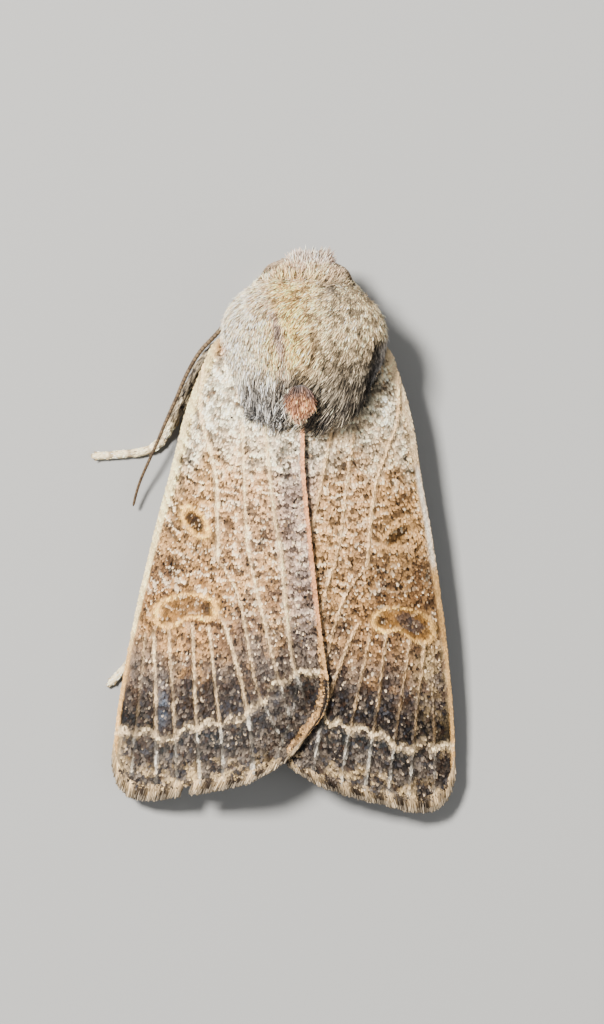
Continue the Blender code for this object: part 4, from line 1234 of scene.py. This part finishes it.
def collarFur():
    # the collar's fringe: from the front of the thorax forward and outward, over eyes and feelers' roots
    random, look = np.random.default_rng(181), furCoat["collar"]
    here, outward = rootsOn(thoraxSkin, look["count"] * 6, random, bodyLook["thoraxMiddle"],
                            lambda p: ease((p[..., 2] - 2.9) / 0.3))
    keep = here[:, 1] < -8.3 - 0.3 * random.random(len(here))
    here, outward = here[keep][:look["count"]], outward[keep][:look["count"]]
    x = here[:, 0]
    lie = unit(vectors(0.35 * x - 0.3 + 0.5 * (noise(here, 0.25, 193) - 0.5), -1.0, -0.1)
               + 0.32 * bell(random, *here.shape))
    reach = 1 - np.where(x > 0, 0.3, 0.6) * ease((np.abs(x + 0.15) - 0.8) / 0.5)
    makeFur("collarFur", here, outward, lie, "collar", 183, furTone, lengthAt=reach)


def crestFur():  # the rufous crest at the rear of the thorax
    random, look = np.random.default_rng(111), furCoat["crest"]
    centre, size = np.array(crestLook["centre"]), np.array(crestLook["size"])
    here, outward = rootsOn(ballSurface(centre, size * (0.85, 0.8, 0.5)), look["count"], random, centre,
                            lambda p: ease((p[..., 2] - centre[2] + 0.15) / 0.2), 0.01)
    facing = outward[:, 1] > -0.8
    here, outward = here[facing], outward[facing]
    wanted = vectors(0.5 * (here[:, 0] - centre[0]), 1.0, 0.35)
    lie = unit(lieOver(outward, wanted) + 0.8 * wanted + 0.22 * bell(random, *here.shape))

    def crestTone(points):
        dx, dy = points[..., 0] - centre[0], points[..., 1] - centre[1]
        return laid(furTones["rufous"], furTones, [
            ("rufousDark", ease(mottle(points, 0.16, 97) * 3 - 1)),
            ("rufousPale", 0.6 * ease((np.hypot(dx, dy) - 0.32) / 0.2) * ease((dy + 0.1) / 0.3)),
            ("crestFront", 0.8 * ease((-0.16 - dy + 0.5 * (noise(points, 0.15, 98) - 0.5)) / 0.2)),
        ])
    uneven = 0.62 + 0.9 * noise(here, 0.14, 99)
    makeFur("crestFur", here, outward, lie, "crest", 113, crestTone, lengthAt=uneven)


def abdomenFur():
    random = np.random.default_rng(121)
    u, v = scatter(abdomenSkin, furCoat["abdomen"]["count"], random)
    here, outward, _, _ = framesOn(abdomenSkin, np.clip(u, 0.003, 0.997), v)
    outward = outwardFrom(here, outward, vectors(0, here[:, 1] - 0.3, 1.5))
    lie = unit(lieOver(outward, vectors(0.1 * here[:, 0], 1, 0)) + 0.08 * bell(random, *here.shape))
    longer = 1 + 0.5 * ease((here[:, 1] - 4.6) / 0.8)
    makeFur("abdomenFur", here, outward, lie, "abdomen", 123, coatTone, lengthAt=longer)


def waistFur():
    # tufts on the melted join under the body, each rooted at a random place on a face of the skin
    random, count = np.random.default_rng(221), furCoat["waist"]["count"]
    corners = bodyPoints[np.asarray(bodyFaces)]
    middle = corners.mean(axis=1)
    near = np.flatnonzero((np.abs(middle[:, 1] + 6.0) < 2.35) & (middle[:, 2] < 2.3))
    corners = corners[random.choice(near, count)]
    here = (corners * random.dirichlet(np.ones(4), count)[..., None]).sum(axis=1)
    outward = unit(np.cross(corners[:, 2] - corners[:, 0], corners[:, 3] - corners[:, 1]))
    outward = outwardFrom(here, outward, vectors(0, here[:, 1], 2.2))
    lie = unit(lieOver(outward, vectors(0.2 * here[:, 0], 1, 0)) + 0.12 * bell(random, *here.shape))
    makeFur("waistFur", here, outward, lie, "waist", 223, coatTone)


def eyeGap(points):  # distance from the middle of the nearer eye
    return np.linalg.norm(np.abs(points) * (1, 0, 0) + points * (0, 1, 1) - eyeLook["centre"], axis=-1)


def headFur():
    random, look = np.random.default_rng(131), furCoat["head"]

    def clearOfEyes(points):
        return ease((eyeGap(points) - 0.42) / 0.12) * (1 - 0.9 * ease((points[..., 1] + 8.3) / 0.2))
    here, outward = rootsOn(headSkin, look["count"], random, bodyLook["headMiddle"], clearOfEyes)
    wanted = vectors(0.5 * here[:, 0], -1.0, 0.5 * (here[:, 2] - 2.1))
    lie = unit(lieOver(outward, wanted) + 0.15 * bell(random, *here.shape))
    makeFur("headFur", here, outward, lie, "head", 133, coatTone)
    for word, side in sides:
        surface = palpSurfaces[f"palp_{word}"]
        here, outward, flow = rootsOnTube(surface, *scatter(surface, furCoat["palp"]["count"], random))
        lie = unit(flow + np.array((0, -0.25, 0.1)) + 0.1 * bell(random, *here.shape))
        makeFur(f"palpFur{word.capitalize()}", here, outward, lie, "palp", 135 + side, faceTone,
                nodes=[f"palp_{word}"])


def neckFur():  # short tufts on the neck between collar and eyes
    random, look = np.random.default_rng(191), furCoat["neck"]
    here, outward = rootsOn(neckSkin, look["count"], random, bodyLook["neckMiddle"],
                            lambda p: 1.0 * (p[..., 1] < -7.7), 0.01)
    lie = unit(lieOver(outward, vectors(0.8 * here[:, 0], -1.0, 0.0)) + 0.2 * bell(random, *here.shape))
    makeFur("neckFur", here, outward, lie, "neck", 193, furTone)


def faceTone(points):  # pinkish grey with rufous and slate tufts
    return laid(furTones["face"], furTones, [
        ("faceRufous", 0.6 * ease(mottle(points, 0.4, 98) * 3 - 1.4)),
        ("faceSlate", 0.6 * ease(noise(points, 0.3, 99) * 3 - 1.4)),
    ])


def faceFur():  # loose tufts that fan forward from the face over the palps
    random, look = np.random.default_rng(171), furCoat["face"]
    here, outward = rootsOn(headSkin, look["count"] * 3, random, bodyLook["headMiddle"],
                            lambda p: ease((p[..., 2] - 1.9) / 0.3))
    keep = (here[:, 1] < -8.6) & (eyeGap(here) > eyeLook["radius"])
    here, outward = here[keep][:look["count"]], outward[keep][:look["count"]]
    x = here[:, 0]
    wanted = vectors(x - 0.1 + 0.7 * (noise(here, 0.25, 93) - 0.5), -1.0,
                     0.25 + 0.4 * (noise(here, 0.25, 94) - 0.5))
    lie = unit(wanted + 0.18 * bell(random, *here.shape))
    shorter = 0.3 + 0.75 * ease((here[:, 1] + 9.67) / 0.55)
    shorter = shorter * (1 - 0.6 * ease((np.abs(x + 0.1) - 0.25) / 0.6)) * (0.8 + 0.5 * noise(here, 0.2, 175))
    makeFur("faceFur", here, outward, lie, "face", 173, faceTone, lengthAt=shorter)


def legScales():
    for name, surface in legSurfaces.items():
        random = np.random.default_rng(sum(map(ord, name)))
        u, v = scatter(surface, furCoat["leg"]["count"], random)
        here, outward, flow = rootsOnTube(surface, u, v)
        lie = unit(flow + 0.12 * bell(random, *here.shape))
        shorter = np.interp(u, (0, 0.6, 0.7, 1), (1.25, 1.0, 0.7, 0.55))
        makeFur("scales_" + name, here, outward, lie, "leg", 151, lambda points, u=u: legTone(points, u),
                lengthAt=shorter, nodes=[name])


print("fur")
thoraxFur()
collarFur()
crestFur()
abdomenFur()
waistFur()
headFur()
neckFur()
faceFur()
legScales()


thornLook = {
    "spursAt": {"foreleg": (), "midleg": (0.6,), "hindleg": (0.46, 0.6)},  # each is a long and a short spur
    "spurs": ((-0.12, 0.5), (0.62, 0.375)), "spurWidth": 0.045,  # each one's turn round the leg, and length
    "claws": (0.08, 0.42), "clawAt": 0.975, "clawLength": 0.13, "clawWidth": 0.018,
    "tone": tone(206, 184, 146),
}


def makeThorns():  # spurs on the shanks, and two claws at the end of each foot
    look, thorns = thornLook, []
    for name, surface in legSurfaces.items():
        for at in look["spursAt"][name.split("_")[0]]:
            for turn, length in look["spurs"]:
                here, outward, flow, _ = framesOn(surface, np.array([at]), np.array([turn]))
                lie = unit(flow[0] + 0.45 * outward[0])
                thorns.append((here[0], lie, outward[0], length, look["spurWidth"]))
        for turn in look["claws"]:
            here, outward, flow, _ = framesOn(surface, np.array([look["clawAt"]]), np.array([turn]))
            lie = unit(flow[0] + (0, 0, -0.25) + 0.5 * outward[0])
            thorns.append((here[0], lie, (0, 0, 1), look["clawLength"], look["clawWidth"]))
    roots, lies, ups, lengths, widths = map(np.array, zip(*thorns))
    points, faces, share, uv = tuftShapes(roots, lies, ups, lengths, widths, 0.05, 0.12, bodyUv(roots),
                                          rings=5, thick=1.4)
    paint = tuftPaint(look["tone"], look["tone"] * 0.5, share, np.ones(len(roots)))
    finish("spursAndClaws", points, faces, legFinish, [], paint, uv)


print("spurs and claws")
makeThorns()


feelerLook = {
    "root": 0.14, "base": 0.085, "tip": 0.04,  # half-thicknesses
    "segments": 72, "sides": 12, "hairs": 700, "hairLength": 0.09, "hairWidth": 0.008,
    "hairTone": tone(190, 172, 142),
    "ring": tone(142, 124, 100), "joint": tone(62, 50, 40),
    "outer": tone(98, 80, 64), "worn": tone(80, 68, 58),
}
feelerRoot = (
    (0.4, -8.85, 2.65), (0.75, -9.08, 2.6), (1.28, -8.9, 2.25),
    (1.55, -8.5, 1.8), (1.92, -8.0, 1.45), (2.35, -7.4, 1.3),
)
feelerPaths = {
    "left": (
        *feelerRoot, (3.0, -6.6, 1.32), (3.55, -5.95, 1.3), (3.95, -5.2, 1.22), (4.3, -4.3, 1.12),
        (4.62, -3.5, 1.05), (4.9, -2.75, 0.98), (5.14, -2.15, 0.88), (5.36, -1.6, 0.72), (5.5, -1.15, 0.58),
        (5.62, -0.6, 0.42),
    ),
    "right": (
        *feelerRoot, (2.6, -6.8, 1.3), (2.8, -6.2, 1.28), (3.0, -5.4, 1.15), (3.3, -4.2, 1.0),
        (3.55, -3.0, 0.9), (3.8, -1.6, 0.8), (4.05, -0.2, 0.65),
    ),
}


def feelerRadius(u):  # a stout first joint, then an even taper of ring-like joints
    look = feelerLook
    basic = np.interp(u, (0, 0.045, 0.06, 1), (look["root"], look["root"], look["base"], look["tip"]))
    rings = 0.13 * np.abs(np.sin(math.pi * look["segments"] * u)) * (u > 0.06)
    return basic * (1 + rings) * np.sqrt(np.clip((1.001 - u) / 0.01, 0.1, 1))


def feelerStalk(surface, name, node):
    look = feelerLook
    rows, around = look["segments"] * 5 + 1, look["sides"]
    points, faces, share = closedTube(surface, rows, around)
    ring = np.abs(np.sin(math.pi * look["segments"] * share))
    paint = laid(look["ring"], look, [
        ("joint", 1 - ease(ring * 1.4)),
        ("outer", 0.6 * ease(share * 1.5 - 0.6)),
        ("worn", 0.6 * ease(noise(points, 0.16, 167) * 5 - 2.4)),
    ])
    paint = over(paint, coatTone(points) * 0.7, 1 - ease((share - 0.08) / 0.05))
    angle = np.append(np.tile(np.arange(around) / around, rows), (0, 0))
    finish(f"antenna{name}", points, faces, legFinish, [node], paint, mapUv(angle, share))


def feelerHairs(surface, name, node, random):  # fine hairs along one side
    look = feelerLook
    u = 0.07 + 0.92 * random.random(look["hairs"])
    v = 0.5 + 0.5 * random.random(look["hairs"])
    here, outward, flow = rootsOnTube(surface, u, v, 1)
    lie = unit(outward + 0.7 * flow)
    up = unit(np.cross(lie, np.cross(outward, lie)))
    points, faces, share, uv = tuftShapes(here, lie, up, look["hairLength"], look["hairWidth"], 0.0, 0.1,
                                          np.stack([v % 1, u], axis=1), rings=2)
    paint = tuftPaint(look["hairTone"], look["hairTone"], share, np.ones(len(here)))
    finish(f"antennaHairs{name}", points, faces, furFinish, [node], paint, uv)


def feelerFur(surface, name, node, random, seed):  # short fur on the first joints
    count = furCoat["feeler"]["count"]
    u, v = 0.1 * random.random(count) ** 1.4, random.random(count)
    here, outward, flow = rootsOnTube(surface, u, v, 1)
    lie = unit(flow + np.array((0, 0.2, 0)) + 0.2 * bell(random, *here.shape))
    makeFur(f"antennaFur{name}", here, outward, lie, "feeler", seed, coatTone, nodes=[node])


print("feelers and eyes")
compoundEye = eyeMaterial()
for word, side in sides:
    name, node, random = word.capitalize(), f"antenna_{word}", np.random.default_rng(161 + side)
    feeler = tubeSurface(np.array(feelerPaths[word]) * (side, 1, 1), feelerRadius, 200)
    feelerStalk(feeler, name, node)
    feelerHairs(feeler, name, node, random)
    feelerFur(feeler, name, node, random, 165 + side)
    eye = ballSurface(np.array(eyeLook["centre"]) * (side, 1, 1), eyeLook["radius"])
    eyePoints, eyeFaces, _ = closedTube(eye, 64, 96)
    finish(f"eye{name}", eyePoints, eyeFaces, compoundEye, [f"eye_{word}"])


stageLook = {
    "viewCentre": (-0.19, -0.655, 2.2), "distance": 150, "frameHeight": 34.8, "roll": 2.5,
    "floorReach": 0.4,  # in metres, as the lights' places are
    "floor": {"Base Color": (0.29, 0.29, 0.285, 1), "Roughness": 0.9},
    "world": {"Color": (0.86, 0.86, 0.85, 1), "Strength": 0.42},
    "lights": (  # name, place, size, power and colour
        ("key", (0.118, -0.085, 0.236), 0.05, 2.9, (1.0, 0.97, 0.92)),
        ("fill", (-0.2, 0.1, 0.22), 0.25, 0.3, (0.98, 0.99, 1.0)),
    ),
}


def makeFloor():
    reach = stageLook["floorReach"]
    mesh = bpy.data.meshes.new("floor")
    corners = [(x * reach, y * reach, 0) for x, y in ((-1, -1), (1, -1), (1, 1), (-1, 1))]
    mesh.from_pydata(corners, [], [(0, 1, 2, 3)])
    mesh.materials.append(nodeMaterial("studioFloor", stageLook["floor"])[0])
    floor = placed("floor", mesh)


def makeWorld():
    world = bpy.data.worlds.new("studio")
    world.use_nodes = True
    setInputs(world.node_tree.nodes["Background"], stageLook["world"])
    bpy.context.scene.world = world


def turned(right, up, backward, place):  # the matrix that stands a light or camera at a place
    matrix = np.eye(4)
    matrix[:3] = np.stack([right, up, backward, place], axis=1)
    return Matrix(matrix.tolist())


def makeLight(name, place, size, power, colour):  # an area light that faces the origin
    lamp = bpy.data.lights.new(name, "AREA")
    lamp.size = size
    lamp.energy = power
    lamp.color = colour
    backward = unit(np.array(place))
    right = unit(np.cross((0.0, 1.0, 0.01), backward))
    placed(name, lamp).matrix_world = turned(right, np.cross(backward, right), backward, place)


def makeCamera():  # straight down, with the head at the top of the picture
    look = stageLook
    camera = bpy.data.cameras.new("camera")
    camera.sensor_width = 36
    camera.lens = camera.sensor_width * look["distance"] / look["frameHeight"]
    camera.clip_start, camera.clip_end = 0.01, 10
    roll = math.radians(look["roll"])
    right, up = (-math.cos(roll), -math.sin(roll), 0), (math.sin(roll), -math.cos(roll), 0)
    place = inMetres(look["viewCentre"]) + (0, 0, look["distance"] * millimetre)
    holder = placed("camera", camera)
    holder.matrix_world = turned(right, up, (0, 0, 1), place)
    bpy.context.scene.camera = holder


print("floor, light and camera")
makeFloor()
makeWorld()
for light in stageLook["lights"]:
    makeLight(*light)
makeCamera()
